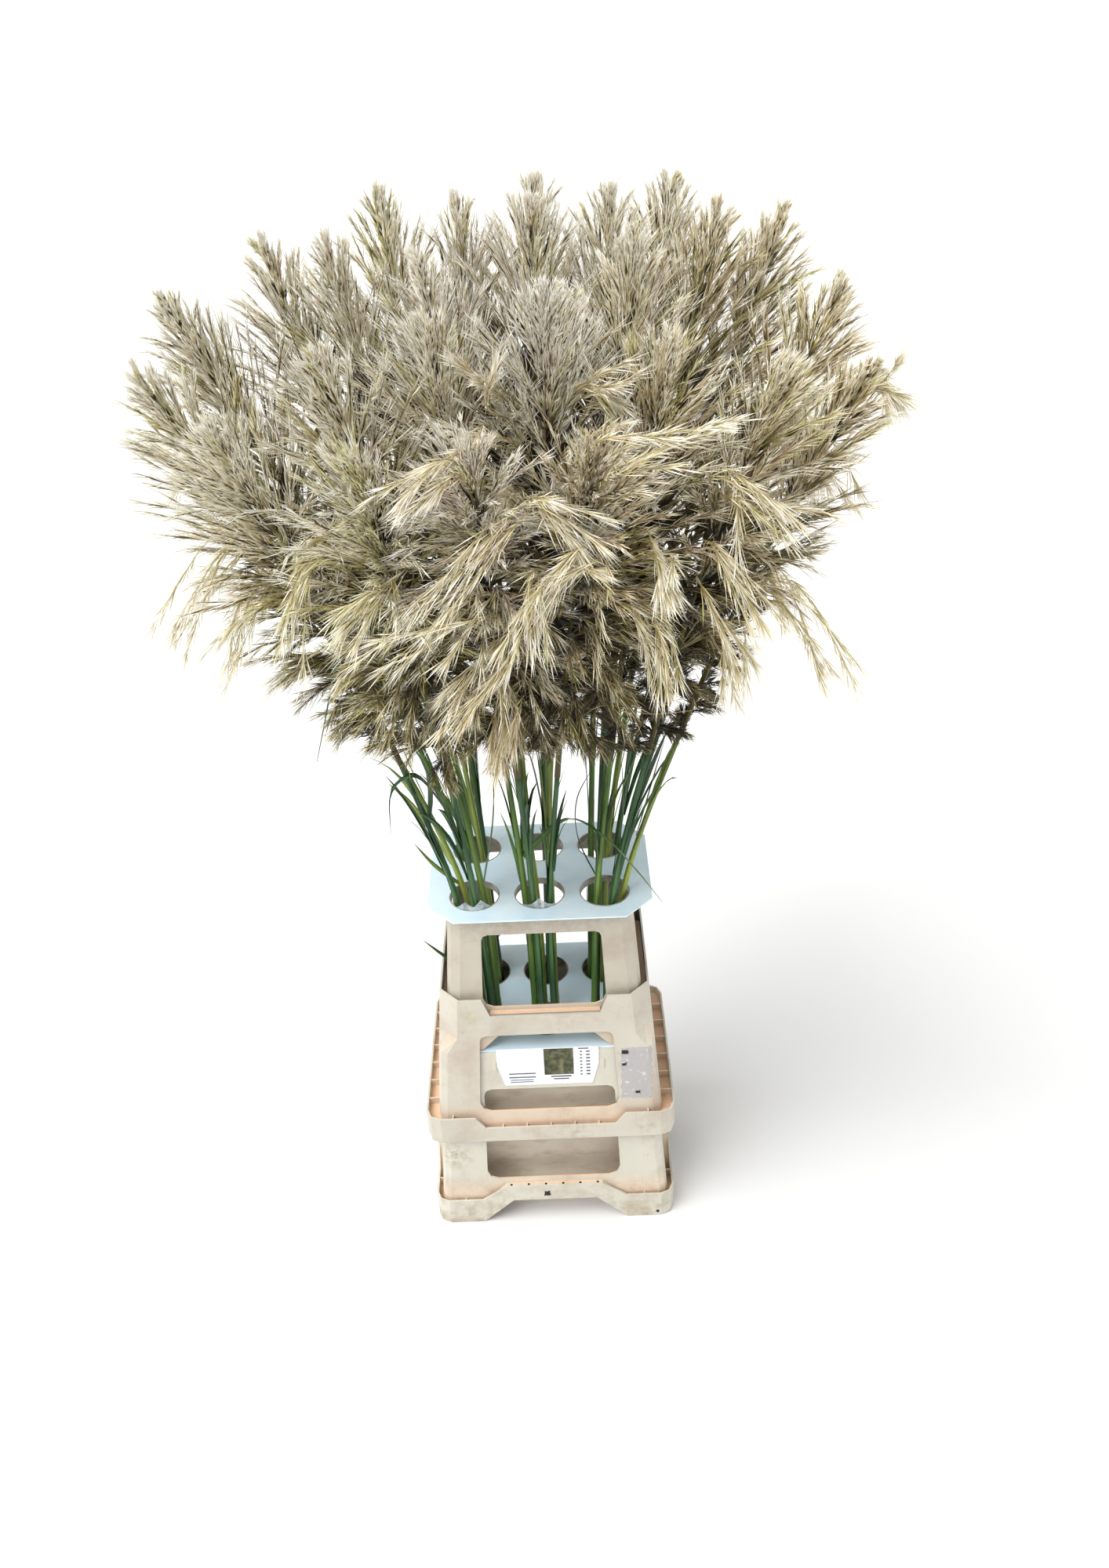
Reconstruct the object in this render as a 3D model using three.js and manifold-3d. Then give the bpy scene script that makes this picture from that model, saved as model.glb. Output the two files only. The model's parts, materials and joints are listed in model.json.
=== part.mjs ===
// Cut pampas grass plumes on leafy stems, standing in a stacked flower-transport container.
// Millimetres, +Z up. The origin is the centre of the container's footprint, on the floor.
import * as THREE from 'three';
import { mergeVertices } from 'three/addons/utils/BufferGeometryUtils.js';
import Module from 'manifold-3d';

const wasm = await Module();
wasm.setup();

// ---- driving dimensions -------------------------------------------------------------------
const WALL = 3; // moulded plastic wall
const GAP = 0.3; // between pieces that rest on each other
const PAST = 5; // how far a cutter runs past what it cuts
const CORNER_STEPS = 2; // flats in a rounded corner

// Heights of the stack.
const BASE_TOP = 372;
const SHEET_THICK = 2.5;
const LOWER_SHEET_Z = BASE_TOP + GAP;
const RISER_Z = LOWER_SHEET_Z + SHEET_THICK + GAP;
const RISER_TOP = 626;
const UPPER_SHEET_Z = RISER_TOP + GAP;
const COLLAR_Z = 197;
const COLLAR_TOP = 480;

// A stacking frame: a tapered four-sided wall on a pocketed foot rim.
// Half widths are hx and hy, heights z are above the floor.
const BASE = {
  z: 0,
  foot: { hx: 200, hy: 150, corner: 22 },
  wall: { low: { hx: 189, hy: 143 }, high: { hx: 164.5, hy: 127 }, corner: 14, top: BASE_TOP },
  flange: 16, // inward flange on top, which carries the lower sheet
  rim: { corner: 53, middle: 84, pocket: 16 }, // heights of the skirt's edge over z, pocket depth
  front: { flat: 80, slope: 121, archTop: 70, archFoot: 121, archRise: 50 },
  side: { flat: 50, slope: 82, archTop: 34, archFoot: 78, archRise: 50 },
  window: { low: 95, high: 295, halfLow: 110, halfHigh: 104, rLow: 18, rHigh: 12 },
  sideWindow: { low: 112, high: 285, halfLow: 66, halfHigh: 60, rLow: 16, rHigh: 12 },
  ribsX: [150],
  ribsY: [98],
  clips: { x: 84.5, half: 3.5, low: 334, high: 352, stand: 1.6 }, // hold the label card's edges
};
const RISER = {
  z: RISER_Z,
  foot: { hx: 158.5, hy: 123.5, corner: 38 },
  wall: { low: { hx: 152.5, hy: 116.5 }, high: { hx: 137, hy: 103 }, corner: 20, top: RISER_TOP },
  flange: WALL, // none: the upper sheet lies on the wall's edge
  rim: { corner: 50, middle: 74, pocket: 14 },
  front: { flat: 84, slope: 112, archTop: 60, archFoot: 100, archRise: 44 },
  side: { flat: 88, slope: 104, archTop: 34, archFoot: 70, archRise: 44 },
  window: { low: 455, high: 590, halfLow: 94, halfHigh: 89, rLow: 17, rHigh: 9 },
  sideWindow: { low: 458, high: 580, halfLow: 60, halfHigh: 56, rLow: 14, rHigh: 9 },
  ribsX: [],
  ribsY: [28, 72],
};

// The collar slips over the base stand and rests on its top corners.
const COLLAR = {
  foot: { hx: 200, hy: 150, corner: 24 },
  low: { hx: 180.5, hy: 140.5 },
  high: { hx: 160.5, hy: 126 },
  corner: 14,
  chamfer: 29, // corners are cut off above the shoulder facets
  facetLow: 378,
  facetHigh: 405,
  rimSide: 250,
  rimMiddle: 227,
  stepFlat: 104,
  stepSlope: 120,
  ledgeSide: 236,
  ledgeMiddle: 217,
  window: { low: 254, high: 410, halfLow: 111, halfHigh: 103, rLow: 18, rHigh: 10 },
  sideWindow: { low: 262, high: 400, halfLow: 66, halfHigh: 60, rLow: 14, rHigh: 10 },
  notch: { bottom: 448, halfLow: 84, halfHigh: 97 }, // dip in the front and back top edges
  ribsX: [0, 38.5, 77, 156],
  ribsY: [20, 60, 100],
};
const RIB = 1.8;

// Hole sheets: a chamfered plate with two rows of three round holes.
const SHEET = { upper: { hx: 167, hy: 121 }, lower: { hx: 163.5, hy: 126 }, chamfer: 41 };
const HOLE_RADIUS = 37.5;
const HOLE_SIDES = 12;
const HOLES = [
  [-97, -58.5], [0, -58.5], [97, -58.5],
  [-97, 58.5], [0, 58.5], [97, 58.5],
];

// Label card, standing in front of the base stand's top bar.
const CARD = { halfTop: 80, halfLow: 69, low: 303, high: 378, step: 345, thick: 1 };

// Water bucket and its water. The bucket stands on the floor inside the base stand.
const BUCKET = {
  low: { hx: 140, hy: 96 }, high: { hx: 157, hy: 115 }, corner: 30, top: 325, wall: 3, floor: 4,
};
const BUCKET_LIP_LOW = 319; // the lip fills the base stand's inside from here to the top
const WATER_TOP = 150;
const HOLE_IN_WATER = 8.2; // radius of the plain holes that the stems stand in
const HOLE_OVERRUN = 0.1; // share of its length that such a hole's cutter runs on at each end

// Stems. Each bunch of them leans out from its hole towards the middle of its plumes' tips.
const STEM_SIDES = 5;
const STEM_STEPS = 7;
const STEM_RADIUS = { foot: 6.6, neck: 4.2 };
const STEM_FOOT = { z: BUCKET.floor + GAP, height: 8 }; // upright, so that it stands level
const STEM_END = 0.0006; // share of the stem's line left free below the plume
const BUNCH_LEAN = 0.055; // share of the bunch's sideways reach that it leans by
const BUNCH = { // the bunch's radius and its share of that lean, at three heights
  foot: { ring: 24, lean: -2 },
  lowerSheet: { ring: 17, lean: -0.6 },
  upperSheet: { ring: 21, lean: 0.6 },
};

// Plumes: one row each, with the hole its stem stands in, its tip, and the height where it starts.
const PLUMES = [
  { hole: 0, tip: [-430, -70, 1420], start: 905 },
  { hole: 0, tip: [-318, -205, 1385], start: 895 },
  { hole: 0, tip: [-196, -196, 1455], start: 905 },
  { hole: 0, tip: [-148, -306, 1372], start: 880 },
  { hole: 3, tip: [-420, 60, 1470], start: 925 },
  { hole: 3, tip: [-310, 150, 1515], start: 935 },
  { hole: 3, tip: [-215, 70, 1530], start: 950 },
  { hole: 3, tip: [-165, 215, 1560], start: 930 },
  { hole: 1, tip: [-98, -20, 1520], start: 935 },
  { hole: 1, tip: [-82, -160, 1475], start: 905 },
  { hole: 1, tip: [45, -150, 1500], start: 930 },
  { hole: 1, tip: [-38, -312, 1385], start: 890 },
  { hole: 1, tip: [88, -306, 1378], start: 885 },
  { hole: 4, tip: [-58, 130, 1560], start: 945 },
  { hole: 4, tip: [34, 60, 1575], start: 965 },
  { hole: 4, tip: [40, 240, 1570], start: 940 },
  { hole: 2, tip: [150, -18, 1535], start: 950 },
  { hole: 2, tip: [172, -196, 1450], start: 895 },
  { hole: 2, tip: [292, -200, 1420], start: 900 },
  { hole: 2, tip: [412, -110, 1400], start: 900 },
  { hole: 2, tip: [398, 20, 1465], start: 915 },
  { hole: 5, tip: [132, 130, 1570], start: 945 },
  { hole: 5, tip: [256, 80, 1545], start: 930 },
  { hole: 5, tip: [215, 215, 1565], start: 950 },
  { hole: 5, tip: [345, 150, 1525], start: 925 },
];
const BASE_REACH = 0.27; // share of the way out to the tip at the plume's start
const MIDDLE = { reach: 0.6, rise: 0.52 }; // shares of the way out, and of the plume's height
// The plume's core: radii at shares of the plume's line.
const CORE = { at: [0, 0.12, 0.4, 0.75, 1], radii: [5.5, 12, 20, 18, 0], sides: 6 };

// Feathers: the plume's side branches, larger than life. t runs from 0 at the plume's start to 1.
const FEATHERS = 14;
const FEATHER_SIDES = 3;
const FEATHER_AT = [0, 0.5, 1];
const FEATHER_RADII = [8, 18, 0];
const FEATHER_SUNK = 7; // how deep a feather's root lies in the core
const FEATHER_LENGTH = (t) => 205 - 90 * t;
const FEATHER_TILT = (t) => 1.1 - 0.72 * t; // from the plume's line, in radians
const FEATHER_DROOP = (t) => 0.26 - 0.22 * t; // share of its length that its end hangs down by
const FEATHER_FIRST = 0.05; // share of the plume's line at the lowest root
const FEATHER_LAST = 0.84; // and at the highest
const FEATHER_CLEAR = 1.2; // least distance to any other piece
const GOLDEN_ANGLE = 2.39996;
const SEED = 4504;
// A feather that doesn't fit is tried again with wider random draws and a little shorter.
const FEATHER_TRIES = 16;
const ROOT_SPREAD = 0.3; // of the step from one root to the next
const TURN_SPREAD = { first: 0.5, more: 0.25 };
const TILT_SPREAD = { first: 0.2, more: 0.04 };
const SHORTER = 0.035;

// Leaf blades: the stem that each grows from, and the points that it follows. Of the first
// point only the height counts: the blade leaves its stem there.
const LEAF_THICK = 0.9;
const LEAF_ROOT = { width: 0.55, gain: 2 }; // share of the full width, and its gain along the blade
const LEAF_TIP = { width: 0.12, gain: 2.4 };
const LEAVES = [
  {
    stem: 1, width: 10, steps: 11,
    points: [
      [0, 0, 780], [-138, -138, 900], [-180, -170, 1040],
      [-178, -192, 1190], [-204, -202, 1150], [-264, -206, 965],
    ],
  },
  {
    stem: 3, width: 8, steps: 7,
    points: [[0, 0, 740], [-122, -160, 866], [-150, -186, 926], [-180, -182, 900], [-190, -172, 827]],
  },
  { stem: 2, width: 8, steps: 3, points: [[0, 0, 630], [-62, -20, 740], [-56, -2, 860]] },
  { stem: 0, width: 6, steps: 3, points: [[0, 0, 636], [-148, -76, 700], [-172, -92, 752]] },
  {
    stem: 4, width: 9, steps: 4,
    points: [[0, 0, 415], [-134, -12, 452], [-156, -26, 484], [-186, -30, 522]],
  },
  {
    stem: 9, width: 9, steps: 7,
    points: [[0, 0, 700], [50, -96, 786], [98, -122, 768], [142, -128, 712], [176, -130, 660]],
  },
  { stem: 16, width: 6, steps: 5, points: [[0, 0, 640], [60, -44, 724], [62, -36, 780], [84, -24, 822]] },
];

// ---- small tools --------------------------------------------------------------------------
const vec = (x, y, z) => new THREE.Vector3(x, y, z);
const mix = (a, b, t) => a + (b - a) * t;

// A seeded random number generator (mulberry32).
function randomFrom(seed) {
  let a = seed;
  return () => {
    a = (a + 0x6d2b79f5) | 0;
    let t = Math.imul(a ^ (a >>> 15), 1 | a);
    t = (t + Math.imul(t ^ (t >>> 7), 61 | t)) ^ t;
    return ((t ^ (t >>> 14)) >>> 0) / 4294967296;
  };
}

function toSolid(geometry) {
  const bare = new THREE.BufferGeometry();
  bare.setAttribute('position', geometry.getAttribute('position'));
  bare.setIndex(geometry.getIndex());
  const merged = mergeVertices(bare, 1e-3);
  return new wasm.Manifold(new wasm.Mesh({
    numProp: 3,
    vertProperties: new Float32Array(merged.getAttribute('position').array),
    triVerts: new Uint32Array(merged.getIndex().array),
  }));
}

function toGeometry(solid) {
  const mesh = solid.getMesh();
  const position = new Float32Array(mesh.numVert * 3);
  for (let i = 0; i < mesh.numVert; i++) {
    position.set(mesh.vertProperties.subarray(i * mesh.numProp, i * mesh.numProp + 3), i * 3);
  }
  const geometry = new THREE.BufferGeometry();
  geometry.setAttribute('position', new THREE.BufferAttribute(position, 3));
  geometry.setIndex(new THREE.BufferAttribute(new Uint32Array(mesh.triVerts), 1));
  geometry.computeVertexNormals();
  return geometry;
}

const join = (solids) => solids.reduce((all, solid) => all.add(solid));
const cut = (solid, cutters) => cutters.reduce((left, cutter) => left.subtract(cutter), solid);

// A closed solid through rings of the same number of points, with flat ends.
// A last ring of one point makes a tip. Rings run anticlockwise seen from the end they go to.
function loft(rings) {
  const sides = rings[0].length;
  const position = [];
  const index = [];
  rings.forEach((ring) => ring.forEach((p) => position.push(p.x, p.y, p.z)));
  for (let r = 0; r + 1 < rings.length; r++) {
    const low = r * sides;
    const high = low + sides;
    for (let i = 0; i < sides; i++) {
      const j = (i + 1) % sides;
      if (rings[r + 1].length === 1) {
        index.push(low + i, low + j, high);
      } else {
        index.push(low + i, low + j, high + j, low + i, high + j, high + i);
      }
    }
  }
  const last = rings.length - 1;
  for (let i = 1; i + 1 < sides; i++) {
    index.push(0, i + 1, i);
    if (rings[last].length > 1) index.push(last * sides, last * sides + i, last * sides + i + 1);
  }
  const geometry = new THREE.BufferGeometry();
  geometry.setAttribute('position', new THREE.Float32BufferAttribute(position, 3));
  geometry.setIndex(index);
  return geometry;
}

// A level rectangle with its corners cut off by `corner`; round is 1 for an arc, 0 for a chamfer.
function levelRing({ hx, hy, corner, z, round = 1, steps = CORNER_STEPS }) {
  const ring = [];
  const quarters = [[1, -1], [1, 1], [-1, 1], [-1, -1]];
  quarters.forEach(([sx, sy], quarter) => {
    for (let k = 0; k <= steps; k++) {
      const t = k / steps;
      const angle = (quarter - 1 + t) * Math.PI / 2;
      const arc = [Math.cos(angle) - sx, Math.sin(angle) - sy];
      const from = quarter % 2 === 0 ? [0, -sy] : [-sx, 0];
      const to = quarter % 2 === 0 ? [-sx, 0] : [0, -sy];
      const straight = [mix(to[0], from[0], t), mix(to[1], from[1], t)];
      const dx = mix(straight[0], arc[0], round) * corner;
      const dy = mix(straight[1], arc[1], round) * corner;
      ring.push(vec(sx * hx + dx, sy * hy + dy, z));
    }
  });
  return ring;
}

const levelSolid = (levels) => toSolid(loft(levels.map(levelRing)));

// A convex or concave outline, as [a, b] pairs, extruded along X or Y between two places.
function prism(axis, outline, from, to) {
  const shape = new THREE.Shape(outline.map(([a, b]) => new THREE.Vector2(a, b)));
  const geometry = new THREE.ExtrudeGeometry(shape, { depth: to - from, bevelEnabled: false });
  const place = axis === 'x'
    ? new THREE.Matrix4().makeBasis(vec(0, 1, 0), vec(0, 0, 1), vec(1, 0, 0))
    : new THREE.Matrix4().makeBasis(vec(-1, 0, 0), vec(0, 0, 1), vec(0, 1, 0));
  place.setPosition(axis === 'x' ? vec(from, 0, 0) : vec(0, from, 0));
  return toSolid(geometry.applyMatrix4(place));
}

function box(x0, x1, y0, y1, z0, z1) {
  const geometry = new THREE.BoxGeometry(x1 - x0, y1 - y0, z1 - z0);
  return toSolid(geometry.translate((x0 + x1) / 2, (y0 + y1) / 2, (z0 + z1) / 2));
}

// A window's outline: a trapezium with round corners, as [across, z] pairs.
function windowOutline({ low, high, halfLow, halfHigh, rLow, rHigh }) {
  const corners = [
    [-halfLow, low, rLow, 180], [halfLow, low, rLow, 270],
    [halfHigh, high, rHigh, 0], [-halfHigh, high, rHigh, 90],
  ];
  const outline = [];
  corners.forEach(([a, b, r, start]) => {
    const centre = [a - Math.sign(a) * r, b + (b === low ? r : -r)];
    for (let k = 0; k <= CORNER_STEPS; k++) {
      const angle = THREE.MathUtils.degToRad(start + (90 * k) / CORNER_STEPS);
      outline.push([centre[0] + r * Math.cos(angle), centre[1] + r * Math.sin(angle)]);
    }
  });
  return outline;
}

// ---- container ----------------------------------------------------------------------------
// The wall's half widths at a height, along its straight taper.
function taper(low, high, lowZ, highZ, z) {
  const t = (z - lowZ) / (highZ - lowZ);
  return { hx: mix(low.hx, high.hx, t), hy: mix(low.hy, high.hy, t) };
}

// An outline [across, z] of everything above (or below) a stepped edge.
function steppedEdge(half, flat, slope, cornerZ, middleZ, farZ) {
  return [
    [-half, cornerZ], [-slope, cornerZ], [-flat, middleZ], [flat, middleZ],
    [slope, cornerZ], [half, cornerZ], [half, farZ], [-half, farZ],
  ];
}

// A strip of even thickness that follows a stepped edge, as [across, z].
function steppedStrip(half, flat, slope, cornerZ, middleZ, thick) {
  const top = [[-half, cornerZ], [-slope, cornerZ], [-flat, middleZ]];
  const right = top.map(([a, z]) => [-a, z]).reverse();
  const upper = [...top, ...right];
  return [...upper.map(([a, z]) => [a, z - thick]), ...upper.reverse()];
}

// The skirt round the foot: a ring whose upper edge is stepped on all four sides.
function skirt(foot, z, height, [frontEdge, sideEdge]) {
  const top = z + height;
  const outer = levelSolid([{ ...foot, z }, { ...foot, z: top }]);
  const inside = { hx: foot.hx - WALL, hy: foot.hy - WALL, corner: foot.corner - WALL };
  const inner = levelSolid([{ ...inside, z: z - PAST }, { ...inside, z: top + PAST }]);
  const ring = outer.subtract(inner);
  const reachX = foot.hx + PAST;
  const reachY = foot.hy + PAST;
  const edgeX = foot.hx - foot.corner;
  const edgeY = foot.hy - foot.corner;
  const cutters = [prism('y', frontEdge, -reachY, -edgeY), prism('y', frontEdge, edgeY, reachY)];
  if (sideEdge) cutters.push(prism('x', sideEdge, -reachX, -edgeX), prism('x', sideEdge, edgeX, reachX));
  return cut(ring, cutters);
}

// Ribs across the rim's pockets, from the wall to the skirt.
function ribs(foot, wall, ribsX, ribsY, lowAt, highAt) {
  const solids = [];
  const span = (side, from, to) => [side * (from - WALL / 2), side * (to - WALL / 2)].sort((a, b) => a - b);
  for (const side of [-1, 1]) {
    for (const x of new Set(ribsX.flatMap((r) => [-r, r]))) {
      const [z0, z1] = [lowAt('front', Math.abs(x)), highAt('front', Math.abs(x))];
      const [near, far] = span(side, wall.hy, foot.hy);
      solids.push(box(x - RIB / 2, x + RIB / 2, near, far, z0, z1));
    }
    for (const y of new Set(ribsY.flatMap((r) => [-r, r]))) {
      const [z0, z1] = [lowAt('side', Math.abs(y)), highAt('side', Math.abs(y))];
      const [near, far] = span(side, wall.hx, foot.hx);
      solids.push(box(near, far, y - RIB / 2, y + RIB / 2, z0, z1));
    }
  }
  return solids;
}

// The ledge between wall and skirt: strips along the four sides, trimmed to the ring.
function ledgeRing(foot, wallLow, wallHigh, corner, z0, z1, frontStrip, sideStrip) {
  const outside = { hx: foot.hx - WALL / 2, hy: foot.hy - WALL / 2, corner: foot.corner - WALL / 2 };
  const inside = (wall, z) => ({ hx: wall.hx - WALL / 2, hy: wall.hy - WALL / 2, corner, z });
  const room = levelSolid([{ ...outside, z: z0 }, { ...outside, z: z1 }])
    .subtract(levelSolid([inside(wallLow, z0 - PAST), inside(wallHigh, z1 + PAST)]));
  const nearX = wallHigh.hx - foot.corner;
  const nearY = wallHigh.hy - foot.corner;
  return join([
    prism('y', frontStrip, -foot.hy, -nearY), prism('y', frontStrip, nearY, foot.hy),
    prism('x', sideStrip, -foot.hx, -nearX), prism('x', sideStrip, nearX, foot.hx),
  ]).intersect(room);
}

// A stacking frame: the base stand and the top riser.
function stackingFrame(f) {
  const { foot, wall, rim, front, side } = f;
  const cornerZ = f.z + rim.corner;
  const middleZ = f.z + rim.middle;
  const ledgeZ = cornerZ - rim.pocket;
  const farZ = middleZ + PAST;
  const sizeAt = (z) => taper(wall.low, wall.high, cornerZ, wall.top, z);
  const ring = (z, inset) => {
    const { hx, hy } = sizeAt(z);
    return { hx: hx - inset, hy: hy - inset, corner: wall.corner - inset / 2, z };
  };
  const shell = cut(levelSolid([ring(ledgeZ - WALL, 0), ring(wall.top, 0)]), [
    levelSolid([ring(ledgeZ - WALL - PAST, WALL), ring(wall.top - WALL, WALL)]),
    levelSolid([ring(wall.top - WALL - PAST, f.flange), ring(wall.top + PAST, f.flange)]),
  ]);
  const edge = skirt(foot, f.z, rim.middle, [
    steppedEdge(foot.hx + PAST, front.flat, front.slope, cornerZ, middleZ, farZ),
    steppedEdge(foot.hy + PAST, side.flat, side.slope, cornerZ, middleZ, farZ),
  ]);
  const ledge = ledgeRing(
    foot, sizeAt(ledgeZ - WALL), sizeAt(farZ), wall.corner, ledgeZ - WALL, farZ,
    steppedStrip(foot.hx, front.flat, front.slope, ledgeZ, middleZ, WALL),
    steppedStrip(foot.hy, side.flat, side.slope, ledgeZ, middleZ, WALL),
  );
  const ribTop = (plan, across) => (across > plan.slope ? cornerZ : middleZ) - 1;
  const ribSolids = ribs(
    foot, sizeAt(cornerZ), f.ribsX, f.ribsY, () => ledgeZ - WALL / 2,
    (where, across) => ribTop(where === 'front' ? front : side, across),
  );
  const arch = (plan) => [
    [-plan.archFoot, f.z - PAST], [plan.archFoot, f.z - PAST], [plan.archFoot, f.z],
    [plan.archTop, f.z + plan.archRise], [-plan.archTop, f.z + plan.archRise], [-plan.archFoot, f.z],
  ];
  const reachX = foot.hx + PAST;
  const reachY = foot.hy + PAST;
  return cut(join([shell, edge, ledge, ...ribSolids]), [
    prism('y', windowOutline(f.window), -reachY, reachY),
    prism('x', windowOutline(f.sideWindow), -reachX, reachX),
    prism('y', arch(front), -reachY, reachY),
    prism('x', arch(side), -reachX, reachX),
  ]);
}

// Two small clips on the base stand's top bar, on either side of the label card.
function labelClips({ x, half, low, high, stand }) {
  const wallY = (z) => -taper(BASE.wall.low, BASE.wall.high, BASE.rim.corner, BASE.wall.top, z).hy;
  const clip = (middle) => {
    const ring = (z) => [
      vec(middle - half, wallY(z) - stand, z), vec(middle + half, wallY(z) - stand, z),
      vec(middle + half, wallY(z) + WALL / 2, z), vec(middle - half, wallY(z) + WALL / 2, z),
    ];
    return toSolid(loft([ring(low), ring(high)]));
  };
  return [clip(-x), clip(x)];
}

// The collar: square below, with shoulders and cut-off corners above the base stand's top.
function collar(c) {
  const ledgeLow = c.ledgeMiddle - WALL;
  const shelf = BASE_TOP + GAP; // the underside that rests on the base stand's top corners
  const sizeAt = (z) => taper(c.low, c.high, c.rimMiddle, COLLAR_TOP, z);
  const ring = (z, inset, corner, round) => {
    const { hx, hy } = sizeAt(z);
    return { hx: hx - inset, hy: hy - inset, corner: corner - inset / 2, z, round };
  };
  const shell = cut(levelSolid([
    ring(ledgeLow, 0, c.corner, 1), ring(c.facetLow, 0, c.corner, 1),
    ring(c.facetHigh, 0, c.chamfer, 0), ring(COLLAR_TOP, 0, c.chamfer, 0),
  ]), [
    levelSolid([ring(ledgeLow - PAST, WALL, c.corner, 1), ring(shelf, WALL, c.corner, 1)]),
    levelSolid([ring(shelf - 1, WALL, c.chamfer, 0), ring(COLLAR_TOP + PAST, WALL, c.chamfer, 0)]),
  ]);
  const farZ = c.rimSide + PAST;
  const edge = skirt(c.foot, COLLAR_Z, c.rimSide - COLLAR_Z, [
    steppedEdge(c.foot.hx + PAST, c.stepFlat, c.stepSlope, c.rimSide, c.rimMiddle, farZ), null,
  ]);
  const ledge = ledgeRing(
    c.foot, sizeAt(ledgeLow), sizeAt(farZ), c.corner, ledgeLow, farZ,
    steppedStrip(c.foot.hx, c.stepFlat, c.stepSlope, c.ledgeSide, c.ledgeMiddle, WALL),
    steppedStrip(c.foot.hy, 10, 20, c.ledgeSide, c.ledgeSide, WALL),
  );
  const inMiddle = (where, across) => where === 'front' && across < c.stepFlat;
  const ribSolids = ribs(
    c.foot, sizeAt(c.rimMiddle), c.ribsX, c.ribsY,
    (where, across) => (inMiddle(where, across) ? c.ledgeMiddle : c.ledgeSide) - WALL / 2,
    (where, across) => (inMiddle(where, across) ? c.rimMiddle : c.rimSide) - 1,
  );
  const notch = [
    [-c.notch.halfLow, c.notch.bottom], [c.notch.halfLow, c.notch.bottom],
    [c.notch.halfHigh, COLLAR_TOP + PAST], [-c.notch.halfHigh, COLLAR_TOP + PAST],
  ];
  const reachX = c.foot.hx + PAST;
  const reachY = c.foot.hy + PAST;
  return cut(join([shell, edge, ledge, ...ribSolids]), [
    prism('y', windowOutline(c.window), -reachY, reachY),
    prism('x', windowOutline(c.sideWindow), -reachX, reachX),
    prism('y', notch, -reachY, reachY),
  ]);
}

function holeSheet({ hx, hy }, z) {
  const level = { hx, hy, corner: SHEET.chamfer, round: 0, steps: 1 };
  const plate = levelSolid([{ ...level, z }, { ...level, z: z + SHEET_THICK }]);
  return cut(plate, HOLES.map(([x, y]) => {
    const deep = SHEET_THICK + 2 * PAST;
    const hole = new THREE.CylinderGeometry(HOLE_RADIUS, HOLE_RADIUS, deep, HOLE_SIDES);
    return toSolid(hole.rotateX(Math.PI / 2).translate(x, y, z + SHEET_THICK / 2));
  }));
}

// The card stands against the sloping top bar, so each level is set out from the wall there.
function labelCard() {
  const wallY = (z) => -taper(BASE.wall.low, BASE.wall.high, BASE.rim.corner, BASE.wall.top, z).hy - GAP;
  const ring = (half, z) => [
    vec(-half, wallY(z) - CARD.thick, z), vec(half, wallY(z) - CARD.thick, z),
    vec(half, wallY(z), z), vec(-half, wallY(z), z),
  ];
  return toSolid(loft([
    ring(CARD.halfLow, CARD.low), ring(CARD.halfTop, CARD.step), ring(CARD.halfTop, CARD.high),
  ]));
}

const bucketSize = (z) => taper(BUCKET.low, BUCKET.high, 0, BUCKET.top, z);

function waterBucket() {
  const ring = (z, inset) => {
    const { hx, hy } = bucketSize(z);
    return { hx: hx - inset, hy: hy - inset, corner: BUCKET.corner - inset, z };
  };
  const stand = taper(BASE.wall.low, BASE.wall.high, BASE.rim.corner, BASE.wall.top, BUCKET.top);
  const [hx, hy] = [stand.hx, stand.hy].map((half) => half - WALL - GAP);
  const lip = { hx, hy, corner: BUCKET.corner };
  const outside = join([
    levelSolid([ring(0, 0), ring(BUCKET.top, 0)]),
    levelSolid([{ ...lip, z: BUCKET_LIP_LOW }, { ...lip, z: BUCKET.top }]),
  ]);
  const inside = levelSolid([ring(BUCKET.floor, BUCKET.wall), ring(BUCKET.top + PAST, BUCKET.wall)]);
  return outside.subtract(inside);
}

function water(stemPaths) {
  const ring = (z) => {
    const { hx, hy } = bucketSize(z);
    const inset = BUCKET.wall + GAP;
    return { hx: hx - inset, hy: hy - inset, corner: BUCKET.corner - inset, z };
  };
  const body = levelSolid([ring(BUCKET.floor + GAP), ring(WATER_TOP)]);
  return cut(body, stemPaths.map((path) => {
    const line = new THREE.Line3(path.stemPoint(0), pointOnStem(path, WATER_TOP));
    const points = [line.at(-HOLE_OVERRUN, vec()), line.at(1 + HOLE_OVERRUN, vec())];
    return tube(points, [HOLE_IN_WATER, HOLE_IN_WATER], STEM_SIDES);
  }));
}

// ---- plant --------------------------------------------------------------------------------
// A closed tube of the given radii round a line of points; a last radius of 0 makes a tip.
function tube(points, radii, sides, across = vec(1, 0, 0), flat = 1) {
  const rings = points.map((point, i) => {
    if (radii[i] === 0) return [point];
    const before = points[Math.max(i - 1, 0)];
    const after = points[Math.min(i + 1, points.length - 1)];
    const along = after.clone().sub(before).normalize();
    const u = across.clone().addScaledVector(along, -across.dot(along)).normalize();
    const v = along.clone().cross(u);
    return Array.from({ length: sides }, (_, k) => {
      const angle = (2 * Math.PI * (k + 0.5)) / sides;
      return point.clone()
        .addScaledVector(u, radii[i] * Math.cos(angle))
        .addScaledVector(v, radii[i] * flat * Math.sin(angle));
    });
  });
  return toSolid(loft(rings));
}

// Stems stand evenly round their hole, in the order in which their plumes lean out.
function ringAngle(plume, bunch, mean) {
  const heading = ({ tip }) => Math.atan2(tip[1] - mean[1], tip[0] - mean[0]);
  const order = [...bunch].sort((a, b) => heading(a) - heading(b));
  const step = (2 * Math.PI) / order.length;
  const start = order.reduce((sum, other, k) => sum + heading(other) - k * step, 0) / order.length;
  return start + order.indexOf(plume) * step;
}

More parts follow.
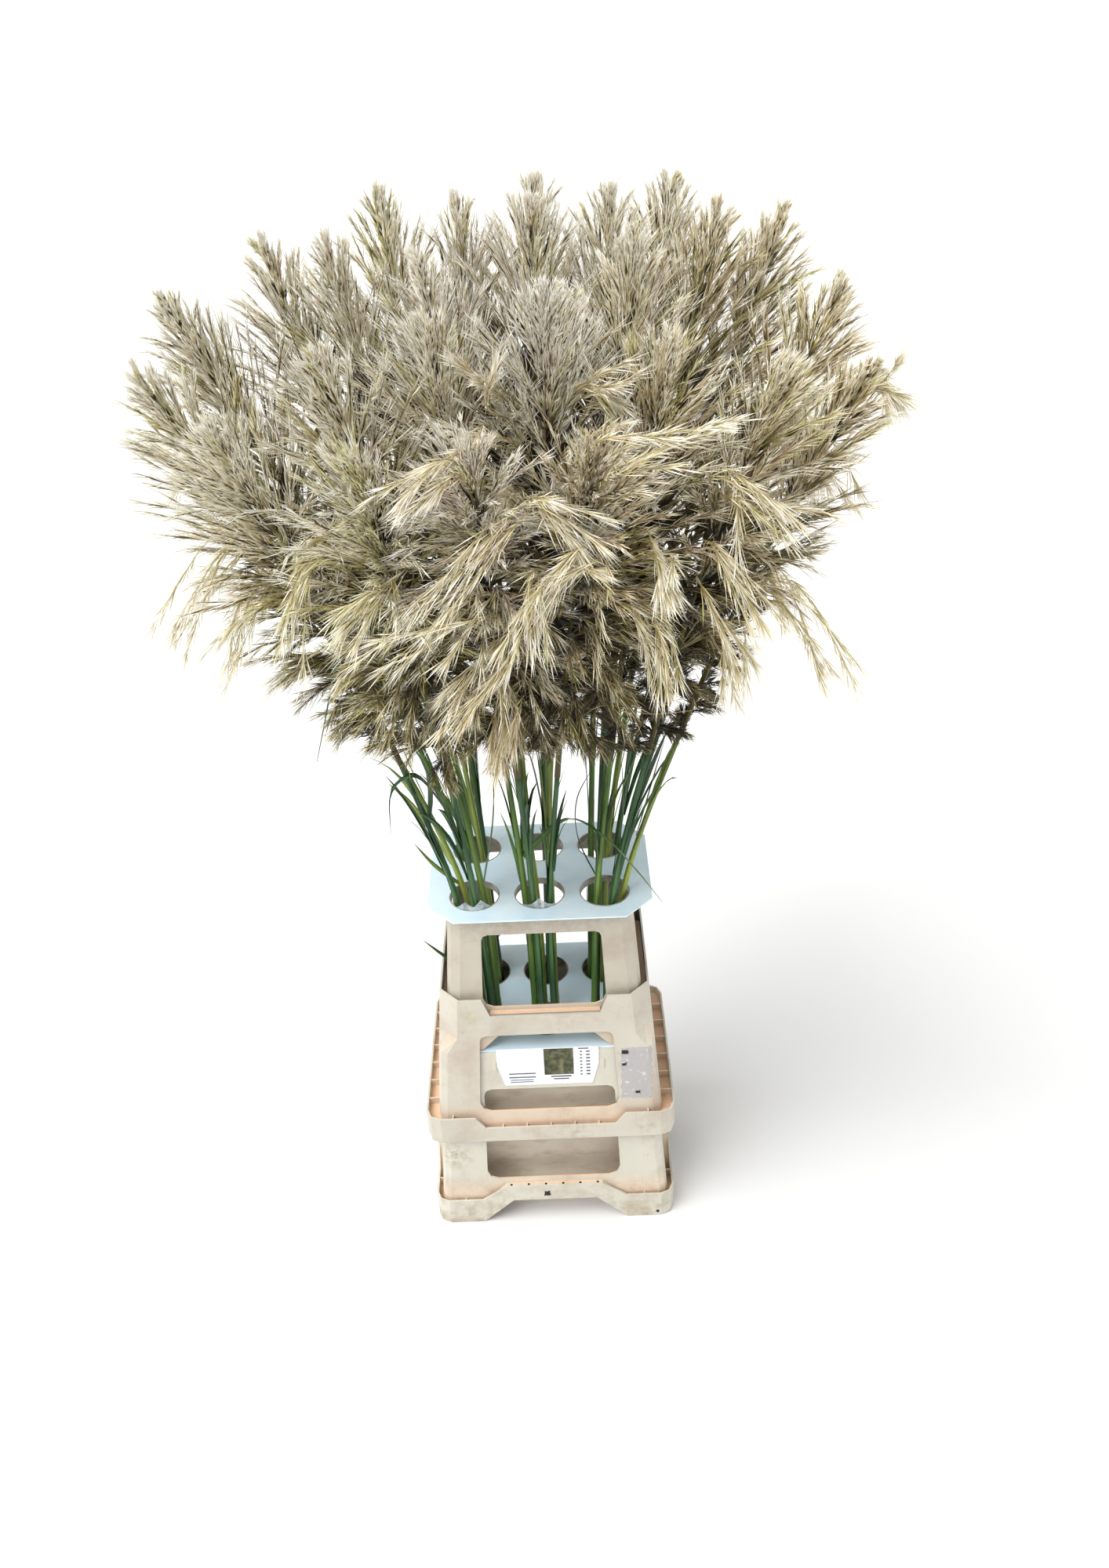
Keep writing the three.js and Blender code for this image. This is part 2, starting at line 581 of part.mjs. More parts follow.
// The line of one stem and its plume: up from the bucket's floor, through both sheets' holes,
// leaning out with its bunch, to the plume's start and on to its tip.
function stemPath(plume) {
  const [holeX, holeY] = HOLES[plume.hole];
  const bunch = PLUMES.filter((other) => other.hole === plume.hole);
  const average = (axis) => bunch.reduce((sum, other) => sum + other.tip[axis], 0) / bunch.length;
  const mean = [average(0), average(1)];
  const angle = ringAngle(plume, bunch, mean);
  const lean = [(mean[0] - holeX) * BUNCH_LEAN, (mean[1] - holeY) * BUNCH_LEAN];
  const inBunch = (at, z) => vec(
    holeX + lean[0] * at.lean + at.ring * Math.cos(angle),
    holeY + lean[1] * at.lean + at.ring * Math.sin(angle), z,
  );
  const [tipX, tipY, tipZ] = plume.tip;
  const upper = inBunch(BUNCH.upperSheet, UPPER_SHEET_Z);
  const between = (share, z) => vec(mix(upper.x, tipX, share), mix(upper.y, tipY, share), z);
  const curve = new THREE.CatmullRomCurve3([
    inBunch(BUNCH.foot, STEM_FOOT.z),
    inBunch(BUNCH.lowerSheet, LOWER_SHEET_Z),
    upper,
    between(BASE_REACH, plume.start),
    between(MIDDLE.reach, mix(plume.start, tipZ, MIDDLE.rise)),
    vec(tipX, tipY, tipZ),
  ], false, 'centripetal');
  const split = 3 / 5; // the plume starts at the fourth of the six points
  return {
    stemPoint: (t) => curve.getPoint(t * split),
    plumePoint: (t) => curve.getPoint(mix(split, 1, t)),
    stemRadius: (t) => mix(STEM_RADIUS.foot, STEM_RADIUS.neck, t),
  };
}

// Shortest distance between two line pieces.
function pieceDistance(a0, a1, b0, b1) {
  const d1 = a1.clone().sub(a0);
  const d2 = b1.clone().sub(b0);
  const r = a0.clone().sub(b0);
  const a = d1.dot(d1);
  const e = d2.dot(d2);
  const f = d2.dot(r);
  const c = d1.dot(r);
  const b = d1.dot(d2);
  const denominator = a * e - b * b;
  const clamp = (x) => Math.min(1, Math.max(0, x));
  let s = denominator > 1e-9 ? clamp((b * f - c * e) / denominator) : 0;
  let t = (b * s + f) / e;
  if (t < 0) {
    t = 0;
    s = clamp(-c / a);
  } else if (t > 1) {
    t = 1;
    s = clamp((b - c) / a);
  }
  return a0.clone().addScaledVector(d1, s).distanceTo(b0.clone().addScaledVector(d2, t));
}

// What feathers have to stay clear of: thick lines, each with its owner.
const obstacles = [];
function addObstacle(owner, points, radii) {
  for (let i = 0; i + 1 < points.length; i++) {
    const radius = Math.max(radii[i], radii[i + 1]);
    obstacles.push({ owner, from: points[i], to: points[i + 1], radius });
  }
}

function isClear(owner, points, radii) {
  for (let i = 0; i + 1 < points.length; i++) {
    const radius = Math.max(radii[i], radii[i + 1]);
    const reach = points[i].distanceTo(points[i + 1]);
    for (const other of obstacles) {
      if (other.owner === owner) continue;
      const least = radius + other.radius + FEATHER_CLEAR;
      const far = least + reach + other.from.distanceTo(other.to);
      if (points[i].distanceTo(other.from) > far) continue;
      if (pieceDistance(points[i], points[i + 1], other.from, other.to) < least) return false;
    }
  }
  return true;
}

const stemName = (i) => `stem_${String(i + 1).padStart(2, '0')}`;
const plumeName = (i) => `plume_${String(i + 1).padStart(2, '0')}`;

// A stem's points and radii: its short upright foot, then the stem's line.
function stemLine(path) {
  const shares = Array.from({ length: STEM_STEPS + 1 }, (_, k) => k / STEM_STEPS);
  const points = shares.map((share) => path.stemPoint(share * (1 - STEM_END)));
  const aboveFoot = points[0].clone().setZ(STEM_FOOT.z + STEM_FOOT.height);
  points.splice(1, 0, aboveFoot);
  return { points, radii: [STEM_RADIUS.foot, ...shares.map(path.stemRadius)] };
}

function stemSolid(path) {
  const { points, radii } = stemLine(path);
  return tube(points, radii, STEM_SIDES);
}

// A long, thin blade that leaves its stem at the height of its first point.
function leafSolid({ points, width, steps }, path) {
  const root = pointOnStem(path, points[0][2]);
  const line = new THREE.CatmullRomCurve3([root, ...points.slice(1).map((p) => vec(...p))]);
  const rings = [];
  for (let k = 0; k <= steps; k++) {
    const t = k / steps;
    const point = line.getPoint(t);
    const along = line.getTangent(t);
    const side = vec(0, 0, 1).cross(along).normalize();
    const up = along.clone().cross(side).normalize();
    const swell = LEAF_ROOT.width + LEAF_ROOT.gain * t;
    const fade = LEAF_TIP.width + LEAF_TIP.gain * (1 - t);
    const half = (width / 2) * Math.min(1, swell, fade);
    const thick = LEAF_THICK / 2;
    const corners = [[-half, -thick], [half, -thick], [half, thick], [-half, thick]];
    rings.push(corners.map(([a, b]) => point.clone().addScaledVector(side, a).addScaledVector(up, b)));
  }
  return { solid: toSolid(loft(rings)), line };
}

function pointOnStem(path, z) {
  let [low, high] = [0, 1];
  for (let k = 0; k < 30; k++) {
    const middle = (low + high) / 2;
    if (path.stemPoint(middle).z < z) low = middle;
    else high = middle;
  }
  return path.stemPoint(low);
}

function corePoints(path) {
  return CORE.at.map((t) => path.plumePoint(t));
}

function coreRadius(t) {
  const i = CORE.at.findIndex((at) => at > t) - 1;
  return mix(CORE.radii[i], CORE.radii[i + 1], (t - CORE.at[i]) / (CORE.at[i + 1] - CORE.at[i]));
}

const NEARBY = 0.02; // half of the share of the line over which its heading is taken

// One feather of a plume: a bent, pointed, three-sided spray, lying along up, out and down.
function featherLine(path, t, azimuth, length, tilt, droop) {
  const along = path.plumePoint(t + NEARBY).sub(path.plumePoint(t - NEARBY)).normalize();
  const side = vec(1, 0, 0).addScaledVector(along, -along.x).normalize();
  const other = along.clone().cross(side);
  const out = side.multiplyScalar(Math.cos(azimuth)).addScaledVector(other, Math.sin(azimuth));
  const root = path.plumePoint(t).addScaledVector(out, Math.max(coreRadius(t) - FEATHER_SUNK, 0));
  const direction = along.clone().multiplyScalar(Math.cos(tilt)).addScaledVector(out, Math.sin(tilt));
  return FEATHER_AT.map((s) => root.clone()
    .addScaledVector(direction, length * s)
    .add(vec(0, 0, -length * droop * s * s)));
}

// Places every plume's feathers in turn, a ring at a time, so that neighbours share the room.
function placeFeathers(paths) {
  const random = randomFrom(SEED);
  const placed = paths.map(() => []);
  for (let k = 0; k < FEATHERS; k++) {
    paths.forEach((path, i) => {
      const t = (k + 0.5 + ROOT_SPREAD * (random() - 0.5)) / FEATHERS;
      const full = FEATHER_LENGTH(t);
      const at = mix(FEATHER_FIRST, FEATHER_LAST, t);
      for (let n = 0; n < FEATHER_TRIES; n++) {
        const spread = ({ first, more }) => (random() - 0.5) * (first + more * n);
        const azimuth = k * GOLDEN_ANGLE + i + spread(TURN_SPREAD);
        const tilt = FEATHER_TILT(t) + spread(TILT_SPREAD);
        const line = featherLine(path, at, azimuth, full * (1 - SHORTER * n), tilt, FEATHER_DROOP(t));
        if (isClear(plumeName(i), line, FEATHER_RADII)) {
          placed[i].push(line);
          addObstacle(plumeName(i), line, FEATHER_RADII);
          break;
        }
      }
    });
  }
  return placed;
}

function plumeSolid(path, featherLines) {
  const core = tube(corePoints(path), CORE.radii, CORE.sides);
  const feathers = featherLines.map((line) => {
    const along = line[1].clone().sub(line[0]).normalize();
    const across = Math.abs(along.z) > 0.9 ? vec(1, 0, 0) : vec(0, 0, 1);
    return tube(line, FEATHER_RADII, FEATHER_SIDES, across);
  });
  return join([core, ...feathers]);
}

// ---- assembly -----------------------------------------------------------------------------
const finish = (color, roughness) => new THREE.MeshStandardMaterial({ color, roughness, metalness: 0 });
const PLASTIC = finish(0xd9cfbc, 0.55);
const clear = (color, roughness) => {
  const material = finish(color, roughness);
  return Object.assign(material, { transparent: true, opacity: 0.6 });
};
const CLEAR = clear(0xc4d6e4, 0.2);
const CARDBOARD = finish(0xf2f2f0, 0.7);
const BUCKET_PLASTIC = finish(0xa39a8c, 0.6);
const WATER = clear(0x9fb2b5, 0.1);
const STEM_GREEN = finish(0x6d8a3c, 0.6);
const PLUME_BEIGE = finish(0xcbbf9f, 0.9);

const plant = new THREE.Group();
function add(name, solid, material) {
  const mesh = new THREE.Mesh(toGeometry(solid), material);
  mesh.name = name;
  plant.add(mesh);
}

const paths = PLUMES.map(stemPath);
add('base_stand', join([stackingFrame(BASE), ...labelClips(BASE.clips)]), PLASTIC);
add('middle_collar', collar(COLLAR), PLASTIC);
add('top_riser', stackingFrame(RISER), PLASTIC);
add('lower_hole_sheet', holeSheet(SHEET.lower, LOWER_SHEET_Z), CLEAR);
add('upper_hole_sheet', holeSheet(SHEET.upper, UPPER_SHEET_Z), CLEAR);
add('label_card', labelCard(), CARDBOARD);
add('water_bucket', waterBucket(), BUCKET_PLASTIC);
add('water', water(paths), WATER);

paths.forEach((path, i) => {
  const { points, radii } = stemLine(path);
  addObstacle(stemName(i), points, radii);
  addObstacle(plumeName(i), corePoints(path), CORE.radii);
});
const leaves = LEAVES.map((leaf) => ({ ...leaf, ...leafSolid(leaf, paths[leaf.stem]) }));
leaves.forEach(({ line, width, stem, steps }) => {
  const points = line.getPoints(2 * steps);
  addObstacle(stemName(stem), points, points.map(() => width / 2 + 1));
});
paths.forEach((path, i) => {
  const own = leaves.filter((leaf) => leaf.stem === i).map((leaf) => leaf.solid);
  add(stemName(i), join([stemSolid(path), ...own]), STEM_GREEN);
});
const feathers = placeFeathers(paths);
paths.forEach((path, i) => add(plumeName(i), plumeSolid(path, feathers[i]), PLUME_BEIGE));

export default plant;
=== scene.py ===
"""Looks of the pampas grass plumes in their transport container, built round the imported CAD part.
Blender 4.5, metres, +Z up. The frame's origin is the centre of the container's footprint, on the floor."""

import json
import math

import bmesh
import bpy
import numpy as np
from mathutils import Matrix, Vector
from mathutils.bvhtree import BVHTree

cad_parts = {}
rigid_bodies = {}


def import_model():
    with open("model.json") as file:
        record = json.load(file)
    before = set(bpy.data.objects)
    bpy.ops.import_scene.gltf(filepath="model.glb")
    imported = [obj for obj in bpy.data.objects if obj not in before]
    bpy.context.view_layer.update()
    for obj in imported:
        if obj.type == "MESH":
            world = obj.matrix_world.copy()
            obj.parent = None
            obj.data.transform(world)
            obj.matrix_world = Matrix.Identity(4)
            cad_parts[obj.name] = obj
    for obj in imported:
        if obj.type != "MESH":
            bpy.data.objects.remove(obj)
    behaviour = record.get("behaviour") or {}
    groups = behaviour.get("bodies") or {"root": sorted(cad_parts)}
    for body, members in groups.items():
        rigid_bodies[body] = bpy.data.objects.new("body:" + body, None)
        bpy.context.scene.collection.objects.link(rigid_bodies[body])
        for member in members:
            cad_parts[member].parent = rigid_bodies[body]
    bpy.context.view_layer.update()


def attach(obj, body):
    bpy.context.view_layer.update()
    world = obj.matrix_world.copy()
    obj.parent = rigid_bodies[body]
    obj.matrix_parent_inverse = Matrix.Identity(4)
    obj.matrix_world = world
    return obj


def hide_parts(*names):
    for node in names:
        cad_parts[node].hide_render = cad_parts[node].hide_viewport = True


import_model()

# ---- driving values, in millimetres unless they say otherwise -------------------------------
MM = 0.001
SEED = 4504

# Camera: place, turn in radians, and focal length in pixels of a picture this high.
CAMERA_AT = (46.91, -1555.10, 1796.94)
CAMERA_TURN = {"yaw": 0.0113191, "pitch": 0.5776689, "roll": -0.0468996}
FOCAL_PX = 1618.81
IMAGE_HEIGHT = 2000
SENSOR = 36.0

# The stems' and plumes' lines, as in the CAD part.
LOWER_SHEET_Z = 372.3
UPPER_SHEET_Z = 626.3
STEM_FOOT_Z = 4.3
HOLES = [(-97, -58.5), (0, -58.5), (97, -58.5), (-97, 58.5), (0, 58.5), (97, 58.5)]
BUNCH_LEAN = 0.055
BUNCH_FOOT = {"ring": 24, "lean": -2}
BUNCH_LOWER = {"ring": 17, "lean": -0.6}
BUNCH_UPPER = {"ring": 21, "lean": 0.6}
BASE_REACH = 0.27
MIDDLE = {"reach": 0.6, "rise": 0.52}
STEM_RADIUS = {"foot": 6.6, "neck": 4.2}
PLUMES = [
    (0, (-430, -70, 1420), 905),
    (0, (-318, -205, 1385), 895),
    (0, (-196, -196, 1455), 905),
    (0, (-148, -306, 1372), 880),
    (3, (-420, 60, 1470), 925),
    (3, (-310, 150, 1515), 935),
    (3, (-215, 70, 1530), 950),
    (3, (-165, 215, 1560), 930),
    (1, (-98, -20, 1520), 935),
    (1, (-82, -160, 1475), 905),
    (1, (45, -150, 1500), 930),
    (1, (-38, -312, 1385), 890),
    (1, (88, -306, 1378), 885),
    (4, (-58, 130, 1560), 945),
    (4, (34, 60, 1575), 965),
    (4, (40, 240, 1570), 940),
    (2, (150, -18, 1535), 950),
    (2, (172, -196, 1450), 895),
    (2, (292, -200, 1420), 900),
    (2, (412, -110, 1400), 900),
    (2, (398, 20, 1465), 915),
    (5, (132, 130, 1570), 945),
    (5, (256, 80, 1545), 930),
    (5, (215, 215, 1565), 950),
    (5, (345, 150, 1525), 925),
]

# Container values that the small pieces on it follow, as in the CAD part.
SHEET_THICK = 2.5
SHEETS = {  # half the length and width, and the height of the underside
    "upper_hole_sheet": ((167, 121), UPPER_SHEET_Z), "lower_hole_sheet": ((163.5, 126), LOWER_SHEET_Z),
}
SHEET_CHAMFER = 41
HOLE_RADIUS = 37.5
HOLE_SIDES = 36
HOLE_RIM = {"inside": 36.2, "outside": 37.45, "above": 0.3, "below": 8}
BASE_WALL = ([53, 372], [143, 127])  # height, and how far forward the base stand's wall is there
CARD_FRONT = 1.3  # how far the card's front stands before that wall
FOOT_HALF = (200, 150)  # half the length and width of the two rims
RIM_THICK = 4
RIM_CORNER = 329  # |x| + |y| inside the rims' round corners
EDGES = {"plastic": (0.9, 2), "sheet": (0.4, 1)}  # how far edges are rounded, and in how many steps
LEDGE_HOLES = {
    "x": [-72, -43, -14.4, 14.4, 43, 72], "y": -145.6, "z": (83.7, 84.25), "radius": 2.1, "sides": 12,
}
FLAP_HALF_ANGLE = 42  # degrees
FLAP_SUNK = 1.5  # how far a petal reaches down into the sheet
FLAP_RADII = (37.4, 36.7)
FLAP_LEAN = 0.35  # how far a petal leans inwards, as a share of its height
FLAPS = [(0, [1, 12, 5, 14, 1]), (1, [1, 5, 15, 5, 1])]  # hole, and heights of the petal along its edge
CARD_LINES = [  # x from and to, z from and to
    (-62, -20, 326, 328), (-62, -20, 318.5, 320.5), (-60, -24, 313.4, 314.7), (-60, -24, 309.2, 310.5),
    (4, 36, 318, 320.4), (8, 32, 313, 315), (48, 64, 374.2, 376),
]
CARD_TICKS = {"count": 8, "top": 367.6, "step": 6.7, "high": 2.4, "x": [(50.5, 53.5), (60, 66)]}
CARD_BLOCK = (-6, 40, 323, 376.5)
CARD_PROUD = {"lines": 0.25, "block": 0.2}
TAPE = {"x": (114, 162), "z": (272, 376), "points": (11, 18), "proud": 0.5, "ragged": 1.6}
MARK = {"points": (4, 4), "proud": 0.9, "ragged": 1.3}
BLACK_MARKS = [  # piece, x, z, width and height
    ("middle_collar", 120, 368, 10, 6), ("middle_collar", 119, 343, 8, 5), ("middle_collar", 141, 284, 7, 4),
    ("base_stand", -13, 65, 9, 10), ("base_stand", 172, 10, 4, 5),
]
# The floor's profile: distance from its middle, and height.
FLOOR = [(0, -1), (9000, -1), (13000, 300), (16000, 1600), (18000, 4500), (19000, 11500)]
FLOOR_SIDES = 72

# Leaves: stem, width, height on the stem where the leaf leaves it, and the points it runs through.
LEAVES = [
    (1, 10, 780, [
        (-138, -138, 900), (-180, -170, 1040), (-178, -192, 1190), (-204, -202, 1150), (-264, -206, 965),
    ]),
    (3, 8, 740, [(-122, -160, 866), (-150, -186, 926), (-180, -182, 900), (-190, -172, 827)]),
    (2, 8, 630, [(-62, -20, 740), (-56, -2, 860)]),
    (0, 6, 636, [(-148, -76, 700), (-172, -92, 752)]),
    (4, 9, 415, [(-134, -12, 452), (-156, -26, 484), (-186, -30, 522)]),
    (9, 9, 700, [(50, -96, 786), (98, -122, 768), (142, -128, 712), (176, -130, 660)]),
    (16, 6, 640, [(60, -44, 724), (62, -36, 780), (84, -24, 822)]),
]
# Dry straws: plume, width, share of its axis where the straw leaves it, and the points it runs through.
STRAWS = [
    (12, 2.4, 0.12, [(92, -210, 1030), (150, -262, 1046), (196, -268, 1052)]),
    (2, 2.0, 0.3, [(-190, -150, 1205), (-210, -200, 1160), (-216, -218, 1080)]),
]
LEAF_STEPS = 22
STEM_SIDES = 12
STEM_RINGS = 44
SHEATHS = [0.16, 0.38, 0.58, 0.76]  # shares of a stem's length at which a leaf's sheath ends in a small step
SHEATH_STEP = 0.315
STEM_POINTS = 400  # along a stem's line, to find the place where a leaf leaves it
STEM_LOBES = (0.07, 0.04)  # how far a stem is from round, twice and five times round it
BLADE = {
    "widths": ([0, 0.12, 0.5, 0.8, 1], [0.55, 0.95, 1, 0.6, 0.06]), "fold": 0.32, "thick": 0.35, "rib": 1.6,
}
SIDE_BLADES = {"count": 4, "width": 8.5, "turn": 0.1, "lengths": (140, 270), "from": (634, 800)}
INNER_BLADES = {"count": 1, "width": 7.5, "turn": 0.015, "lengths": (120, 200), "from": (395, 420)}
BESIDE = {"gap": 4.5, "points": 14, "turn": (0.3, 1.8), "width": (0.6, 1.2)}  # such a blade beside its stem

# Plumes: side branches round a plume's axis, each carrying many fine strands. Pairs of rows give how a
# branch changes with its root's share of the way up the plume, in an upright plume and in one that hangs.
LOW_BRANCHES = {"from": 0.02, "to": 0.4, "branches": 56, "strands": 86, "loose": 0.22}
HIGH_BRANCHES = {"from": 0.4, "to": 0.97, "branches": 108, "strands": 46, "loose": 0.4}
CLUMP = {"branches": 4, "rise": 0.3, "turn": 0.15}  # branches near each other, and how far they stray
GOLDEN_ANGLE = 2.39996
UPRIGHT = {
    "length": ([0, 0.1, 0.2, 0.38, 0.6, 0.8, 1], [70, 105, 140, 180, 202, 175, 75]),
    "tilt": ([0, 0.15, 0.35, 0.6, 0.8, 1], [1.1, 0.95, 0.67, 0.5, 0.37, 0.18]),
    "droop": ([0, 0.1, 0.22, 0.35, 0.5, 1], [0.15, 0.25, 0.35, 0.29, 0.2, 0.1]),
}
HANGING = {
    "length": ([0, 0.12, 0.3, 0.5, 0.8, 1], [58, 82, 112, 130, 125, 80]),
    "tilt": ([0, 0.3, 0.6, 0.8, 1], [1.15, 1.05, 0.85, 0.5, 0.15]),
    "droop": ([0, 0.12, 0.3, 0.5, 0.75, 1], [0.1, 0.25, 0.5, 0.5, 0.25, 0.0]),
}
# Random changes to a branch: spread of its tilt and tone, range of its length and droop, and its least
# length. A branch that droops by more than "heavy" may turn cream, and a little lighter as a painted
# highlight, for this share.
BRANCH = {"tilt": 0.1, "length": (0.75, 1.1), "droop": (0.5, 1.3), "least": 12, "tone": 0.1}
CREAM_BRANCH = {"heavy": 0.3, "share": 0.35, "lighter": 0.08}
HANG = {3: 0.6, 9: 0.25, 11: 0.75, 12: 0.75, 17: 0.4, 18: 0.45, 1: 0.3, 2: 0.2, 10: 0.2}  # 1 hangs fully
LEAN = {11: (-0.5, -0.9), 12: (0.2, -1), 3: (-0.6, -0.8)}  # where hanging plumes lean, if not straight out
COMB = {"by": 0.45, "over": (0.16, 0.56)}  # how much a hanging plume's branches turn to where it leans
LOW_REACH = {  # share of its length that a low branch keeps
    0: 0.65, 1: 0.75, 2: 0.8, 3: 0.8, 4: 0.65, 5: 0.7, 7: 0.8, 11: 0.85, 12: 0.8,
    15: 0.85, 17: 0.8, 18: 0.6, 19: 0.5, 20: 0.55, 23: 0.8, 24: 0.6,
}
LOW_REACH_OVER = (0.2, 8 / 15)  # shares of the way up between which that fades out
FULLER = {3: 1.15, 6: 0.85, 8: 0.85, 10: 1.2, 11: 1.25, 12: 1.25, 13: 0.85, 14: 0.85, 17: 1.1}  # in number
STARTS_AT = {0: 0.06, 1: 0.08, 2: 0.08, 3: 0.08, 9: 0.06, 11: 0.07, 12: 0.1}  # how far its lowest move up
STARTS_OVER = 0.4  # share of the way up at which that has faded out
SLIM = {0: 0.92, 18: 0.92, 19: 0.66, 20: 0.8, 24: 0.92}  # plumes with shorter branches all the way up
DROOP = {"shortens": 0.12, "power": 2.2}  # how much drooping takes off a branch, and how late it falls
SIDE_BEND = 0.08  # how far a branch's tip bends sideways, as a share of its length
# A branch's reach: a share of the way to its plume's tip and a little more, and what hanging adds to both.
TIP_ROOM = {"share": 0.72, "more": 10, "hanging_share": 0.5, "hanging_more": 20}
BRANCH_ENDS = ((-455, -350, 0), (455, 275, 1560))  # a branch ends inside this box
PARTED = {10: (0.55, 0.8)}  # plumes whose axis shows from the front between these shares
PARTED_BY = 0.35  # radians that its branches keep away from the front
# How wide the whole bunch is at some heights, and where its top lies, to thin out what nobody sees inside.
BUNCH_WIDE = ([880, 1000, 1150, 1300, 1450], [230, 330, 430, 470, 450])
BUNCH_DEEP = {"middle": -30, "share": 0.72}  # y of the bunch's middle, and its depth over its width
BUNCH_TOP = {"middle": 1560, "forward": 0.5, "sideways": 0.28}
# Buried stalks grow wider ("stalk") as dark painted shade that fills the inside of the bunch.
BURIED = {"inside": 0.66, "under": 160, "over_z": 1060, "kept": 0.14, "stalk": 3}
# Plumes with a tint of their own.
PINKISH, BROWNISH, GREENISH = (8, 10, 11, 13, 14), (12, 17, 18, 19, 20, 22, 24), (7, 3)

# Strands: s is a strand's share of its branch, t its branch's share of its plume, and lowness goes from 0
# to 1 below LIGHT_FROM_Z. Ranges are of random draws, and "by" values say what s, t or lowness adds.
LIGHT_FROM_Z, LIGHT_OVER = 1290, 300
ROOTS = {"first": 0.04, "range": 0.94, "power": 0.75}
SPREAD = {"range": (0.04, 0.42), "by_s": -0.2, "by_t": -0.2, "by_low": 0.6, "loose": (0.07, 1.7)}
LENGTH = {
    "range": (17, 48), "at_root": 1.25, "by_s": -0.35, "by_low": -0.2, "high": -0.35, "short": (0.4, 120),
}
SAG = {"least": 0.1, "by_droop": 0.3, "range": (0.2, 1.3)}
WIDTH = {"along": ([0, 0.25, 0.5, 1], [1.5, 1.1, 0.74, 0.48]), "range": (0.75, 1.2), "by_low": -0.2}
# Painted shade: a strand's tone is darker low down (by_low) and near its branch's root, and lighter out along
# it (tip, low_tip, power); spread is random, and high lightens the plume's top.
TONE = {
    "at_root": 0.66, "by_low": -0.54, "tip": 0.32, "low_tip": 0.2, "power": 1.4, "spread": 0.19, "high": 0.12,
}
# DARKER's high part is the brownish plumes' own tone; its low part, which grows with lowness, is painted
# shade.
DARKER = {"high": 0.16, "low": 0.22}  # how much darker the brownish plumes are, up high and further down
# Painted light: the pinkish plumes and the parted one stand in the shaded middle of the bunch and are made
# lighter against that shade.
LIGHTER = {"pinkish": 0.12, "parted": 0.22}  # how much lighter the pinkish plumes and the parted one are
WILD = 0.14  # share of strands that are taupe or cream whatever their branch is
# Olive strands near a plume's axis, and near-black ones painted as shade deep inside it: how far along the
# branch, share, and what lowness adds.
INNER = {"olive": (0.36, 0.25, 0.3), "shade": (0.6, 0.1, 0.3), "over": (0.25, 0.75)}
FUZZY = {"share": 0.85, "by_s": -0.3}
NEEDLE = {"middle": (0.35, 0.6), "thick": 0.8}  # where a strand is widest, and its thickness there
# Stalks: dark blades along each branch in the near-black family, painted shade under the strands, lighter
# towards the branch's end.
STALK = {
    "blades": 3, "overlap": 1.1, "width": 1.9, "by_share": -0.9, "tone": 0.15, "lighter": 0.6, "spread": 0.08,
}
AXIS = {"to": 0.92, "rings": 22, "radii": (4.2, 0.5), "sides": 7, "tone": 0.3}
# Bright sprays that bend over and hang: plume, share of its axis where the spray leaves it, crest and tip.
TAILS = [
    (11, 0.72, (0, -340, 1317), (-109, -372, 1225)),
    (11, 0.58, (-37, -330, 1242), (-126, -360, 1191)),
    (12, 0.62, (30, -345, 1268), (10, -378, 1186)),
    (12, 0.68, (67, -345, 1292), (48, -372, 1244)),
    (12, 0.76, (33, -335, 1344), (74, -370, 1311)),
    (12, 0.64, (150, -300, 1278), (169, -335, 1234)),
    (12, 0.47, (138, -290, 1193), (155, -320, 1106)),
    (18, 0.48, (221, -262, 1250), (269, -300, 1161)),
    (18, 0.38, (293, -210, 1177), (365, -240, 1076)),
    (18, 0.3, (228, -235, 1143), (252, -270, 1089)),
    (11, 0.38, (-14, -300, 1165), (-94, -345, 1102)),
    (11, 0.22, (-10, -262, 1076), (-27, -290, 1016)),
    (18, 0.62, (237, -255, 1326), (289, -290, 1275)),
    (3, 0.6, (-201, -265, 1280), (-270, -290, 1181)),
    (1, 0.45, (-282, -215, 1201), (-346, -235, 1127)),
    (3, 0.58, (-130, -300, 1251), (-172, -330, 1200)),
    (0, 0.45, (-329, -150, 1238), (-435, -165, 1110)),
    (11, 0.85, (-50, -330, 1382), (-96, -362, 1344)),
    (12, 0.85, (104, -330, 1367), (192, -362, 1400)),
    (19, 0.75, (410, -112, 1385), (444, -120, 1354)),
    (10, 0.62, (-2, -190, 1345), (-42, -240, 1372)),
    (10, 0.58, (-4, -195, 1312), (-48, -248, 1334)),
    (10, 0.62, (66, -190, 1345), (102, -245, 1365)),
    (10, 0.58, (68, -198, 1312), (112, -255, 1335)),
    (10, 0.72, (0, -170, 1400), (-36, -205, 1425)),
    (10, 0.72, (80, -175, 1400), (122, -215, 1420)),
    (10, 0.52, (4, -210, 1290), (-10, -275, 1310)),
    (10, 0.52, (50, -215, 1290), (70, -285, 1305)),
]
# Sides and back: which plumes hang such sprays straight outwards, and from which shares of their axes.
OUTER_TAILS = {
    "plumes": (4, 5, 7, 15, 20, 23, 24), "shares": (0.34, 0.6), "out": (62, 100), "rise": (26, -44),
    "middle_y": 20,
}
TAIL = {  # tone: at the first strand, what lowness and the way to the tip add, and its random spread
    "sprays": 5, "strands": 62, "crest_jitter": 11, "tip_jitter": 19, "from": 0.25, "spread": (0.05, 0.42),
    "length": (20, 44), "width": (0.5, 0.85), "sag": (0.02, 0.25), "own_family": 0.5,
    "light_from_z": 1220, "tone": (0.46, -0.42, 0.44, 0.13), "points": 8, "radii": (1.1, 0.4), "sides": 4,
}

